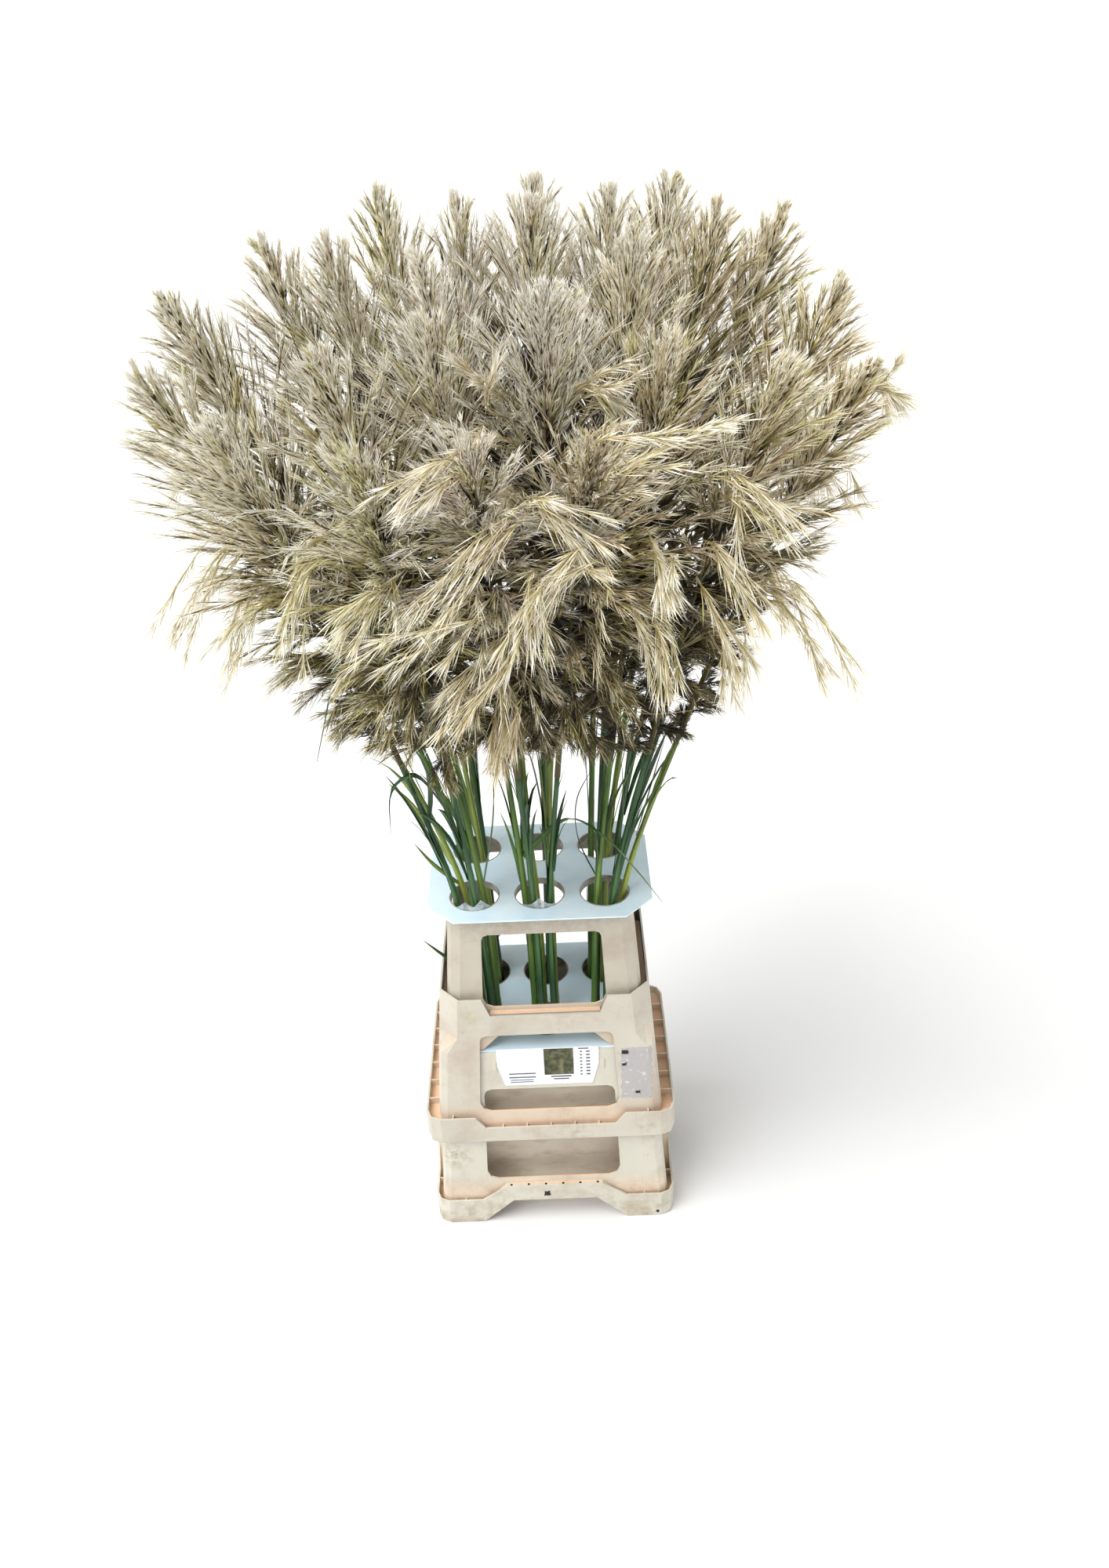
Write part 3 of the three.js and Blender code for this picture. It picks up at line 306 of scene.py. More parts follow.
# Colours are 0-255 sRGB. A strand's tone is read from dark to light in one of seven families.
TAUPE, CREAM, OLIVE, PINK, BROWN, SHADE, FUZZ = range(7)
FAMILIES = [
    [(98, 78, 34), (194, 178, 134), (246, 238, 216), (255, 254, 248)],  # taupe
    [(116, 100, 46), (216, 204, 150), (252, 246, 220), (255, 255, 250)],  # cream
    [(62, 62, 16), (142, 138, 60), (208, 203, 132), (244, 240, 200)],  # olive
    [(110, 78, 44), (208, 180, 148), (248, 232, 214), (255, 251, 246)],  # pinkish
    [(86, 62, 22), (174, 148, 96), (230, 215, 182), (253, 248, 232)],  # brownish
    # Painted shade: near-black stalks and strands that stand for the shadow deep inside the plumes.
    [(22, 18, 4), (58, 48, 16), (104, 90, 40), (160, 146, 88)],  # shaded stalks
    # The low fuzz's olive-brown, darkened further as painted shade low in the bunch.
    [(32, 29, 5), (80, 71, 26), (140, 128, 70), (226, 217, 174)],  # low fuzz
]
TINTS = {  # shares of the families in a plume's sprays
    "plain": [0.56, 0.3, 0.08, 0.04, 0.02, 0, 0], "pinkish": [0.26, 0.16, 0.03, 0.45, 0.1, 0, 0],
    "brownish": [0.3, 0.2, 0.1, 0.08, 0.32, 0, 0], "greenish": [0.3, 0.3, 0.36, 0.02, 0.02, 0, 0],
}
ROOT_TO_TIP = [(0, (130, 114, 74)), (0.3, (208, 197, 164)), (0.62, (255, 255, 255))]  # multiplies a tone
TONE_STEP = 0.004  # how far u strays from a strand's or tube's tone
STEM_GREENS = {  # dark, middle and light stripes
    "stem_yellow_green": ((82, 104, 34), (134, 156, 62), (186, 198, 108)),
    "stem_green": ((44, 78, 34), (84, 122, 50), (140, 166, 82)),
    "stem_dark_green": ((26, 58, 34), (46, 90, 50), (92, 134, 72)),
}
TWO_TONE = {  # noise scale, low and high, two colours, and values of the shader
    "dry_straw": ((60.0, 0.4, 0.65), (176, 150, 84), (214, 192, 128), {"Roughness": 0.5}),
    "clear_flaps": (
        (90.0, 0.4, 0.6), (150, 166, 168), (216, 228, 232),
        {"Roughness": 0.12, "Alpha": 0.5, "Specular_IOR_Level": 0.7},
    ),
    "clouded_rims": (
        (60.0, 0.4, 0.62), (150, 138, 124), (196, 190, 182),
        {"Roughness": 0.3, "Alpha": 0.85, "Specular_IOR_Level": 0.5},
    ),
    "murky_water": (
        (14.0, 0.4, 0.65), (88, 92, 66), (112, 112, 82), {"Roughness": 0.06, "Specular_IOR_Level": 0.5},
    ),
    "white_card": ((40.0, 0.4, 0.7), (236, 238, 242), (224, 227, 233), {"Roughness": 0.5}),
    "print_ink": ((300.0, 0.4, 0.7), (70, 72, 82), (96, 98, 108), {"Roughness": 0.55}),
    "black_marks": ((400.0, 0.4, 0.7), (22, 21, 20), (48, 44, 40), {"Roughness": 0.7}),
}
# Cream plastic: colour, its ledge and the top of its painted glow, share of dirt, and stains, some of
# them painted shade, each with a centre, radius, share and colour.
PLASTIC = {
    "base_stand": ((210, 206, 192), (55, 360), 0.75, [
        ((-159, -138, 150), 34, 0.8, (140, 128, 92)), ((133, -146, 60), 16, 0.6, (178, 120, 96)),
        ((-150, -150, 30), 40, 0.45, (168, 158, 138)),
    ]),
    "middle_collar": ((204, 198, 184), (229, 430), 0.0, [
        ((-113, -128, 450), 16, 0.75, (168, 170, 104)), ((40, -150, 212), 46, 0.5, (160, 136, 116)),
        ((30, -130, 440), 70, 0.4, (178, 156, 142)), ((150, -150, 222), 26, 0.5, (150, 134, 116)),
    ]),
    # The two wide stains at z 615 along the riser's top bar are painted shade under the upper sheet; the
    # riser's cream is also set a little darker for that shade.
    "top_riser": ((194, 186, 171), (372, 600), 0.0, [
        ((-136, -108, 547), 22, 0.6, (160, 148, 130)), ((-60, -105, 615), 90, 0.55, (164, 148, 134)),
        ((60, -105, 615), 90, 0.55, (164, 148, 134)), ((120, -108, 560), 40, 0.35, (172, 158, 142)),
    ]),
}
# Painted light: a peach tint on up-facing faces and just over the ledges, as of light through the thin
# plastic.
GLOW = {"colour": (236, 196, 162), "over": 46, "up": 0.85, "beside": 0.5}  # peach light on and over ledges
WEAR = [  # smudges, streaks down the walls and specks: blend, share, height scale, noise, colour
    ("MULTIPLY", 0.6, 1, (16.0, 0.5, 0.74, 8.0), (222, 204, 196)),
    ("MULTIPLY", 0.1, 0.12, (120.0, 0.62, 0.7, 2.0), (196, 184, 166)),
    ("MIX", 0.6, 1, (300.0, 0.755, 0.78, 1.0), (110, 98, 80)),
]
GRIME = {"heights": (110, 0), "noise": (42.0, 0.42, 0.66, 6.0), "colour": (150, 132, 98)}
WORLD = {"colour": (0.98, 0.98, 0.96, 1), "strength": 0.72}
SUN = {"energy": 3.3, "spread": 45, "from": (-0.5, -0.3, 0.82)}  # spread in degrees

# ---- small tools ----------------------------------------------------------------------------


def unit(v):
    return v / np.maximum(np.linalg.norm(v, axis=-1, keepdims=True), 1e-9)


def angles(count):
    return 2 * math.pi * np.arange(count) / count


def frame_of(direction):
    """Two directions across each given one."""
    helper = np.where(np.abs(direction[..., 2:3]) > 0.9, [1.0, 0.0, 0.0], [0.0, 0.0, 1.0])
    side = unit(np.cross(direction, helper))
    return side, np.cross(direction, side)


def rings_round(line, sides):
    """Directions from each point of a line to the corners of a ring round it (points, sides, 3)."""
    side, other = frame_of(unit(np.gradient(line, axis=0)))
    angle = angles(sides)[:, None]
    return side[:, None] * np.cos(angle) + other[:, None] * np.sin(angle)


def circle(centre, radius, sides, z):
    angle = angles(sides)
    x, y = centre[0] + radius * np.cos(angle), centre[1] + radius * np.sin(angle)
    return np.stack([x, y, np.full(sides, z)], -1)


def closed_skin(rings, u=0.0, v=0.0, loop=False):
    """Vertices, triangles and UVs of the walls over rings (rings, sides, 3), capped, or closed to a loop."""
    count, sides = rings.shape[:2]
    index = np.arange(count * sides).reshape(count, sides)
    below, above = (index, np.roll(index, -1, axis=0)) if loop else (index[:-1], index[1:])
    above_next, below_next = np.roll(above, -1, axis=1), np.roll(below, -1, axis=1)
    faces = [np.stack([below, below_next, above_next], -1), np.stack([below, above_next, above], -1)]
    if not loop:
        first, last = index[0], index[-1]
        for k in range(1, sides - 1):
            faces.append(np.array([(first[0], first[k + 1], first[k]), (last[0], last[k], last[k + 1])]))
    uv = np.stack([np.broadcast_to(u, (count, sides)), np.broadcast_to(v, (count, sides))], -1)
    return rings.reshape(-1, 3), np.concatenate([f.reshape(-1, 3) for f in faces]), uv.reshape(-1, 2)


def merged(parts):
    """One set of vertices, faces and UVs from several."""
    starts = np.cumsum([0] + [len(p[0]) for p in parts[:-1]])
    vertices, faces, uv = zip(*parts)
    faces = [f + first for f, first in zip(faces, starts)]
    return tuple(np.concatenate(a) for a in (vertices, faces, uv))


def curve_points(knots, t):
    """Points at shares t of a centripetal Catmull-Rom curve through knots, as three.js makes it."""
    knots = np.asarray(knots, float)
    knots = np.vstack([2 * knots[0] - knots[1], knots, 2 * knots[-1] - knots[-2]])
    spans = len(knots) - 3
    place = np.clip(np.asarray(t, float), 0, 1) * spans
    i = np.minimum(place.astype(int), spans - 1)
    w = (place - i)[..., None]
    p0, p1, p2, p3 = (knots[i + k] for k in range(4))
    pairs = ((p0, p1), (p1, p2), (p2, p3))
    d0, d1, d2 = (np.sqrt(np.linalg.norm(b - a, axis=-1, keepdims=True)) for a, b in pairs)
    m1 = ((p1 - p0) / d0 - (p2 - p0) / (d0 + d1) + (p2 - p1) / d1) * d1
    m2 = ((p2 - p1) / d1 - (p3 - p1) / (d1 + d2) + (p3 - p2) / d2) * d1
    return p1 + m1 * w + (-3 * p1 + 3 * p2 - 2 * m1 - m2) * w**2 + (2 * p1 - 2 * p2 + m1 + m2) * w**3


def line_knots():
    """The six knots of each stem-and-plume line, by the CAD part's rule."""
    lines = []
    for hole, tip, start in PLUMES:
        bunch = [p for p in PLUMES if p[0] == hole]
        mean = np.mean([p[1][:2] for p in bunch], axis=0)
        heading = [math.atan2(p[1][1] - mean[1], p[1][0] - mean[0]) for p in bunch]
        order = np.argsort(heading, kind="stable")
        step = 2 * math.pi / len(bunch)
        first = sum(heading[k] - n * step for n, k in enumerate(order)) / len(bunch)
        rank = [bunch[k][1] for k in order].index(tip)
        angle = first + rank * step
        hole_xy = np.array(HOLES[hole], float)
        lean = (mean - hole_xy) * BUNCH_LEAN

        def in_bunch(at, z):
            xy = hole_xy + lean * at["lean"] + at["ring"] * np.array([math.cos(angle), math.sin(angle)])
            return [*xy, z]

        upper = in_bunch(BUNCH_UPPER, UPPER_SHEET_Z)

        def between(share, z):
            return [upper[k] + (tip[k] - upper[k]) * share for k in range(2)] + [z]

        middle_z = start + (tip[2] - start) * MIDDLE["rise"]
        lines.append([
            in_bunch(BUNCH_FOOT, STEM_FOOT_Z), in_bunch(BUNCH_LOWER, LOWER_SHEET_Z), upper,
            between(BASE_REACH, start), between(MIDDLE["reach"], middle_z), list(tip),
        ])
    return lines


LINES = line_knots()
PLUME_FROM = 3 / 5  # the plume starts at the fourth of the six knots


def plume_point(i, t):
    return curve_points(LINES[i], PLUME_FROM + (1 - PLUME_FROM) * np.asarray(t, float))


def stem_point(i, t):
    return curve_points(LINES[i], PLUME_FROM * np.asarray(t, float))


def linked(name, data):
    ob = bpy.data.objects.new(name, data)
    bpy.context.scene.collection.objects.link(ob)
    return ob


def mesh_object(name, vertices, faces, uv=None, smooth=False):
    """An object from vertices in millimetres, an array of faces of one size, and one UV per vertex."""
    faces = np.asarray(faces, np.int32)
    me = bpy.data.meshes.new(name)
    me.vertices.add(len(vertices))
    me.vertices.foreach_set("co", (np.asarray(vertices, np.float64) * MM).astype(np.float32).ravel())
    me.loops.add(faces.size)
    me.loops.foreach_set("vertex_index", faces.ravel())
    me.polygons.add(len(faces))
    me.polygons.foreach_set("loop_start", np.arange(0, faces.size, faces.shape[1], dtype=np.int32))
    me.polygons.foreach_set("use_smooth", np.full(len(faces), smooth))
    me.update(calc_edges=True)
    if uv is not None:
        layer = me.uv_layers.new(name="OFBake")
        layer.data.foreach_set("uv", np.asarray(uv, np.float32)[faces.ravel()].ravel())
    return linked(name, me)


def stand_for(ob, material, slot, *nodes):
    """Gives a piece its material, fixes it to the root body and hides the CAD nodes that it stands in for;
    slot is not used.
    """
    ob.data.materials.clear()
    ob.data.materials.append(material)
    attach(ob, "root")
    if nodes:
        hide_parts(*nodes)
    return ob


# ---- materials ------------------------------------------------------------------------------


def srgb(colour):
    """Linear light from 0-255 sRGB numbers."""
    shares = (value / 255 for value in colour)
    return tuple(c / 12.92 if c <= 0.04045 else ((c + 0.055) / 1.055) ** 2.4 for c in shares)


class Nodes:
    """A short way to write a material's nodes."""

    def __init__(self, name, **values):
        self.material = bpy.data.materials.new(name)
        self.material.use_nodes = True
        self.tree = self.material.node_tree
        self.shader = self.tree.nodes["Principled BSDF"]
        for key, value in values.items():
            self.shader.inputs[key.replace("_", " ")].default_value = value

    def link(self, source, target):
        self.tree.links.new(source, target)

    def add(self, kind, vector=None, **settings):
        node = self.tree.nodes.new(kind)
        if vector is not None:
            self.link(vector, node.inputs[0])
        for key, value in settings.items():
            if key in node.inputs:
                node.inputs[key].default_value = value
            else:
                setattr(node, key, value)
        return node

    def fill(self, socket, value):
        """Links a socket to another one, or sets its number or colour."""
        if isinstance(value, bpy.types.NodeSocket):
            self.link(value, socket)
        elif isinstance(value, tuple):
            socket.default_value = (*srgb(value), 1)
        else:
            socket.default_value = value

    def place(self):
        """The painted point in the piece's own coordinates."""
        return self.add("ShaderNodeTexCoord").outputs["Object"]

    def moved(self, vector, **settings):
        """A vector that is scaled, turned or moved."""
        return self.add("ShaderNodeMapping", vector, **settings).outputs["Vector"]

    def split(self, vector):
        return self.add("ShaderNodeSeparateXYZ", vector).outputs

    def noise(self, vector, scale, detail=2.0, roughness=0.5):
        settings = {"Scale": scale, "Detail": detail, "Roughness": roughness}
        return self.add("ShaderNodeTexNoise", vector, **settings).outputs["Fac"]

    def mask(self, vector, scale, low, high, detail=4.0):
        """A grey mask from noise: black under low and white over high."""
        return self.ramp(self.noise(vector, scale, detail, 0.6), [(low, (0, 0, 0)), (high, (255, 255, 255))])

    def ramp(self, source, stops):
        node = self.add("ShaderNodeValToRGB", source)
        elements = node.color_ramp.elements
        for element, (place, colour) in zip(elements, (stops[0], stops[-1])):
            element.position, element.color = place, (*srgb(colour), 1)
        for place, colour in stops[1:-1]:
            elements.new(place).color = (*srgb(colour), 1)
        return node.outputs["Color"]

    def mix(self, blend, factor, a, b):
        node = self.add("ShaderNodeMix", data_type="RGBA", blend_type=blend)
        for k, value in ((0, factor), (6, a), (7, b)):
            self.fill(node.inputs[k], value)
        return node.outputs[2]

    def maths(self, operation, a, b):
        node = self.add("ShaderNodeMath", operation=operation)
        self.fill(node.inputs[0], a)
        self.fill(node.inputs[1], b)
        return node.outputs[0]

    def times(self, first, *others):
        for other in others:
            first = self.maths("MULTIPLY", first, other)
        return first

    def between(self, value, low, high, to=(0.0, 1.0)):
        """to[0] where value is at low, to[1] where it is at high, and a straight line between."""
        settings = dict(zip(("From Min", "From Max", "To Min", "To Max"), (low, high, *to)))
        return self.add("ShaderNodeMapRange", value, **settings).outputs["Result"]

    def bump(self, height, strength, distance):
        node = self.add("ShaderNodeBump", Strength=strength, Distance=distance)
        self.link(height, node.inputs["Height"])
        self.link(node.outputs["Normal"], self.shader.inputs["Normal"])

    def paint(self, colour):
        self.link(colour, self.shader.inputs["Base Color"])
        return self.material


def plume_material():
    """A strand's family and tone are read along u, and its place from root to tip along v."""
    n = Nodes("plume_strands", Roughness=0.6, Specular_IOR_Level=0.35, Sheen_Weight=0.45, Sheen_Roughness=0.4)
    across, along, _ = n.split(n.add("ShaderNodeUVMap", uv_map="OFBake").outputs["UV"])
    stops = []
    for k, family in enumerate(FAMILIES):
        for j, colour in enumerate(family):
            stops.append(((k + 0.02 + 0.96 * j / (len(family) - 1)) / len(FAMILIES), colour))
    return n.paint(n.mix("MULTIPLY", 1.0, n.ramp(across, stops), n.ramp(along, ROOT_TO_TIP)))


def stem_material(name, dark, middle, light):
    """Green with stripes along the stem: u runs round it and v up it."""
    n = Nodes(name, Roughness=0.42, Specular_IOR_Level=0.45)
    uv = n.add("ShaderNodeUVMap", uv_map="OFBake").outputs["UV"]
    stripes = n.noise(n.moved(uv, Scale=(38, 2.2, 1)), 1.0, 3.0, 0.6)
    colour = n.ramp(stripes, [(0.3, dark), (0.52, middle), (0.72, light)])
    shade = n.ramp(n.noise(n.place(), 9.0), [(0.35, (190, 196, 186)), (0.65, (255, 252, 232))])
    n.bump(stripes, 0.35, 0.0006)
    return n.paint(n.mix("MULTIPLY", 1.0, colour, shade))


def two_tone(name):
    """A material in two colours that noise mixes."""
    noise, first, second, values = TWO_TONE[name]
    n = Nodes(name, **values)
    return n.paint(n.mix("MIX", n.mask(n.place(), *noise), first, second))


def glow_mask(n, place, low, high):
    """Where painted peach light lies inside the rims, as of light through the thin plastic: on faces that
    face up under high, and just over its ledge, low.
    """
    where = n.split(place)
    facing = n.split(n.add("ShaderNodeNewGeometry").outputs["Normal"])["Z"]
    up = n.times(n.between(facing, 0.45, 0.95), n.between(where["Z"], (high + 1) * MM, high * MM))
    over_ledge = n.between(where["Z"], (low + GLOW["over"]) * MM, low * MM)
    glow = n.maths("MAXIMUM", n.times(up, GLOW["up"]), n.times(over_ledge, GLOW["beside"]))
    across = 0.0
    for axis, half in zip("XY", FOOT_HALF):
        reach = n.maths("ABSOLUTE", where[axis], 0.0)
        glow = n.times(glow, n.between(reach, (half - RIM_THICK) * MM, (half - RIM_THICK - 1) * MM))
        across = n.maths("ADD", across, reach)
    return n.times(glow, n.between(across, RIM_CORNER * MM, (RIM_CORNER - 2) * MM))


def plastic_material(node, seed):
    """Worn cream plastic: painted peach light on ledges and over them, dirt low down, and stains at given
    places, some of them painted shade.
    """
    cream, ledge, dirt, stains_and_shade = PLASTIC[node]
    n = Nodes(f"cream_{node}", Roughness=0.46, Specular_IOR_Level=0.4)
    place = n.place()
    at = n.moved(place, Location=(seed, seed * 0.37, seed * 0.71))
    colour = n.mix("MIX", n.mask(at, 7.0, 0.35, 0.7), cream, tuple(c - 9 for c in cream))
    # Painted light: peach on up-facing faces and just over the ledges.
    colour = n.mix("MIX", glow_mask(n, place, *ledge), colour, GLOW["colour"])
    for blend, amount, stretch, noise, tint in WEAR:
        spots = n.mask(n.moved(at, Scale=(1, 1, stretch)), *noise)
        colour = n.mix(blend, n.times(spots, amount), colour, tint)
    low_down = n.between(n.split(place)["Z"], *(height * MM for height in GRIME["heights"]))
    grime = n.times(low_down, n.mask(at, *GRIME["noise"]), dirt)
    colour = n.mix("MIX", grime, colour, GRIME["colour"])
    # Stains, and patches of painted shade such as those along the riser's top bar.
    for centre, radius, amount, tint in stains_and_shade:
        centre = tuple(c * MM for c in centre)
        away = n.add("ShaderNodeVectorMath", place, operation="DISTANCE")
        away.inputs[1].default_value = centre
        near = n.between(away.outputs["Value"], radius * MM, 0.0)
        colour = n.mix("MIX", n.times(near, n.mask(at, 90.0, 0.4, 0.6, 6.0), amount), colour, tint)
    scuffs = n.noise(at, 240.0, 3.0)
    n.bump(scuffs, 0.12, 0.0004)
    n.link(n.between(scuffs, 0.0, 1.0, (0.36, 0.58)), n.shader.inputs["Roughness"])
    return n.paint(colour)


def sheet_material():
    n = Nodes("clear_bluish_sheet", Roughness=0.16, Alpha=0.97, Specular_IOR_Level=0.6)
    place = n.place()
    colour = n.mix("MIX", n.mask(place, 11.0, 0.35, 0.7), (214, 239, 254), (230, 246, 255))
    scratched = n.moved(place, Scale=(1, 9, 1), Rotation=(0, 0, 0.5))
    scratches = n.times(n.mask(scratched, 60.0, 0.62, 0.68, 2.0), 0.5)
    n.bump(scratches, 0.15, 0.0006)
    return n.paint(n.mix("MIX", scratches, colour, (250, 253, 255)))


def bucket_material():
    n = Nodes("bucket_plastic", Roughness=0.5)
    at = n.place()
    colour = n.mix("MIX", n.mask(at, 9.0, 0.35, 0.68, 6.0), (206, 196, 178), (188, 172, 154))
    runs = n.mask(n.moved(at, Scale=(0.5, 0.5, 1)), 40.0, 0.5, 0.72)
    n.bump(n.noise(at, 260.0), 0.1, 0.0005)
    return n.paint(n.mix("MULTIPLY", n.times(runs, 0.5), colour, (200, 180, 160)))


def block_material():
    """A plain printed block in the colours of grass."""
    n = Nodes("print_block", Roughness=0.5)
    at = n.place()
    colour = n.mix("MIX", n.mask(at, 130.0, 0.35, 0.65, 5.0), (34, 36, 26), (84, 90, 46))
    return n.paint(n.mix("MIX", n.times(n.mask(at, 60.0, 0.5, 0.7, 2.0), 0.5), colour, (150, 138, 112)))


def tape_material():
    n = Nodes("clear_tape", Roughness=0.18, Alpha=0.42, Specular_IOR_Level=0.7)
    creases = n.mask(n.place(), 90.0, 0.6, 0.7, 5.0)
    n.bump(creases, 0.4, 0.0008)
    return n.paint(n.mix("MIX", creases, (206, 204, 206), (246, 248, 250)))


# ---- plumes ---------------------------------------------------------------------------------


def branch_points(root, start, bend, length, droop, s):
    """Points at shares s of branches that leave root along start and bend sideways and down to their ends."""
    s = s[..., None]
    fall = np.array([0, 0, -1.0])
    ahead = start * (s - DROOP["shortens"] * droop * s**3)
    return root + length * (ahead + bend * s**2 + fall * droop * s ** DROOP["power"])


def fanned(ahead, turn, spread):
    """Directions that leave ahead by the angle spread, on the side that turn gives."""
    side, other = frame_of(ahead)
    return unit(ahead * np.cos(spread) + (side * np.cos(turn) + other * np.sin(turn)) * np.sin(spread))


def strand_solids(origin, direction, length, width, sag, tone, rng):
    """Four-faced needles: a root point, two middle points and a tip that sags by a share of the length."""
    count = len(origin)
    side, up = frame_of(direction)
    turn = rng.uniform(0, 2 * math.pi, (count, 1))
    side, up = side * np.cos(turn) + up * np.sin(turn), up * np.cos(turn) - side * np.sin(turn)
    tip = origin + direction * length - np.array([0, 0, 1.0]) * length * sag
    middle = origin + (tip - origin) * rng.uniform(*NEEDLE["middle"], (count, 1))
    middle = middle + up * width * NEEDLE["thick"]
    vertices = np.stack([origin, middle - side * width, middle + side * width, tip], axis=1)
    first = 4 * np.arange(count)[:, None, None]
    faces = first + np.array([[0, 2, 1], [1, 2, 3], [0, 1, 3], [0, 3, 2]])
    u = np.stack([tone, tone - TONE_STEP, tone + TONE_STEP, tone], axis=1)
    v = np.broadcast_to([0.02, 0.5, 0.5, 0.98], u.shape)
    return vertices.reshape(-1, 3), faces.reshape(-1, 3), np.stack([u, v], axis=-1).reshape(-1, 2)


def tube(line, radii, sides, u):
    """A closed tube round a line, with a radius at each of its points."""
    rings = line[:, None] + rings_round(line, sides) * radii[:, None, None]
    v = np.linspace(0.02, 0.6, len(line))[:, None]
    return closed_skin(rings, u + TONE_STEP * np.cos(angles(sides)), v)


def in_family(family, tone):
    """The u of a tone from 0 to 1 in a family of colour."""
    return (family + 0.03 + 0.94 * np.clip(tone, 0, 1)) / len(FAMILIES)


def habit(i, name, t):
    """A value of a plume's branches at shares t, between the upright and the hanging habit."""
    hang = HANG.get(i, 0)
    return (1 - hang) * np.interp(t, *UPRIGHT[name]) + hang * np.interp(t, *HANGING[name])


def tint_of(i):
    for name, plumes in (("pinkish", PINKISH), ("brownish", BROWNISH), ("greenish", GREENISH)):
        if i in plumes:
            return TINTS[name]
    return TINTS["plain"]


def turned(azimuth, middle):
    """Azimuths as angles from middle, between minus and plus half a turn."""
    return (azimuth - middle + math.pi) % (2 * math.pi) - math.pi


def parted(i, t, azimuth, side, other):
    """Turns the branches in front of a plume's axis to its two sides."""
    low, high = PARTED[i]
    front = np.arctan2(-other[:, 1], -side[:, 1])
    away = turned(azimuth, front)
    pushed = np.where(np.abs(away) < PARTED_BY, np.where(away < 0, -PARTED_BY, PARTED_BY), away)
    return np.where((t > low) & (t < high), front + pushed, azimuth)


def combed(i, t, azimuth, side, other):
    """Turns the upper branches of a hanging plume towards the side that it leans to."""
    outward = unit(np.array([*LEAN.get(i, PLUMES[i][1][:2]), 0.0]))
    lean = np.arctan2((other * outward).sum(1), (side * outward).sum(1))
    return lean + turned(azimuth, lean) * (1 - COMB["by"] * HANG[i] * np.interp(t, COMB["over"], (0, 1)))


def buried(points):
    """Which points lie deep inside the bunch."""
    x, y, z = points[..., 0], points[..., 1], points[..., 2]
    wide = np.interp(z, *BUNCH_WIDE)
    inside = np.hypot(x / wide, (y - BUNCH_DEEP["middle"]) / (BUNCH_DEEP["share"] * wide))
    top = BUNCH_TOP["middle"] - BUNCH_TOP["forward"] * np.maximum(-y, 0) - BUNCH_TOP["sideways"] * np.abs(x)
    return (inside < BURIED["inside"]) & (z < top - BURIED["under"]) & (z > BURIED["over_z"])


def room_in_box(root, start):
    """How far a branch may run along start before it leaves the box for branch ends."""
    low, high = (np.array(corner, float) for corner in BRANCH_ENDS)
    wall = np.where(start > 0, high, low)
    return np.min((wall - root) / np.where(np.abs(start) < 1e-6, 1e-6, start), axis=1)


def branch_starts(i, group, rng):
    """Shares of the plume's axis where a group of branches leaves it, and the directions they leave in."""
    each = CLUMP["branches"]
    clumps = int(group["branches"] * FULLER.get(i, 1)) // each
    count = clumps * each
    k = np.arange(clumps).repeat(each)
    t = (k + rng.uniform(0, 1, clumps).repeat(each) + rng.normal(0, CLUMP["rise"], count)) / clumps
    t = group["from"] + (group["to"] - group["from"]) * np.clip(t, 0, 1)
    t = t + STARTS_AT.get(i, 0) * np.interp(t, (0, STARTS_OVER), (1, 0))
    axis = unit(plume_point(i, t + 0.02) - plume_point(i, t - 0.02))
    side, other = frame_of(axis)
    stray = rng.normal(0, CLUMP["turn"], clumps).repeat(each)
    azimuth = k * GOLDEN_ANGLE + i + stray + rng.normal(0, group["loose"], count)
    if i in HANG:
        azimuth = combed(i, t, azimuth, side, other)
    if i in PARTED:
        azimuth = parted(i, t, azimuth, side, other)
    azimuth = azimuth[:, None]
    out = side * np.cos(azimuth) + other * np.sin(azimuth)
    tilt = (habit(i, "tilt", t) + rng.normal(0, BRANCH["tilt"], count))[:, None]
    return t, unit(axis * np.cos(tilt) + out * np.sin(tilt))


def branch_sizes(i, t, root, start, rng):
    """The branches' lengths, and by which share of them they droop."""
    hang = HANG.get(i, 0)
    low_loss = (1 - LOW_REACH.get(i, 1)) * np.interp(t, LOW_REACH_OVER, (1, 0))
    length = habit(i, "length", t) * rng.uniform(*BRANCH["length"], len(t)) * SLIM.get(i, 1) * (1 - low_loss)
    left = np.linalg.norm(plume_point(i, 1) - root, axis=1)
    room = (TIP_ROOM["share"] + TIP_ROOM["hanging_share"] * hang) * left
    room = room + TIP_ROOM["more"] + TIP_ROOM["hanging_more"] * hang
    length = np.minimum(np.minimum(length, room), room_in_box(root, start))
    level = np.linalg.norm(start[:, :2], axis=1)
    droop = habit(i, "droop", t) * level * rng.uniform(*BRANCH["droop"], len(t))
    return np.maximum(length, BRANCH["least"]), droop


def strand_families(s, t, family, lowness, rng):
    """Which family of colour each strand belongs to, from its branch's family and its place."""
    inner = np.interp(t, INNER["over"], (1, 0))[:, None]
    wild = rng.uniform(0, 1, s.shape) < WILD
    # Strands near the axis, low on a plume, may turn olive or near-black; the near-black ones are painted
    # shade.
    olive, shade = (
        (s < along) & (rng.uniform(0, 1, s.shape) < inner * (share + low * lowness))
        for along, share, low in (INNER["olive"], INNER["shade"])
    )
    family = np.where(wild, rng.choice(2, s.shape), family[:, None])
    fuzz = rng.uniform(0, 1, s.shape) < FUZZY["share"] * lowness * (1 + FUZZY["by_s"] * s)
    return np.where(shade, SHADE, np.where(olive, OLIVE, np.where(fuzz, FUZZ, family)))


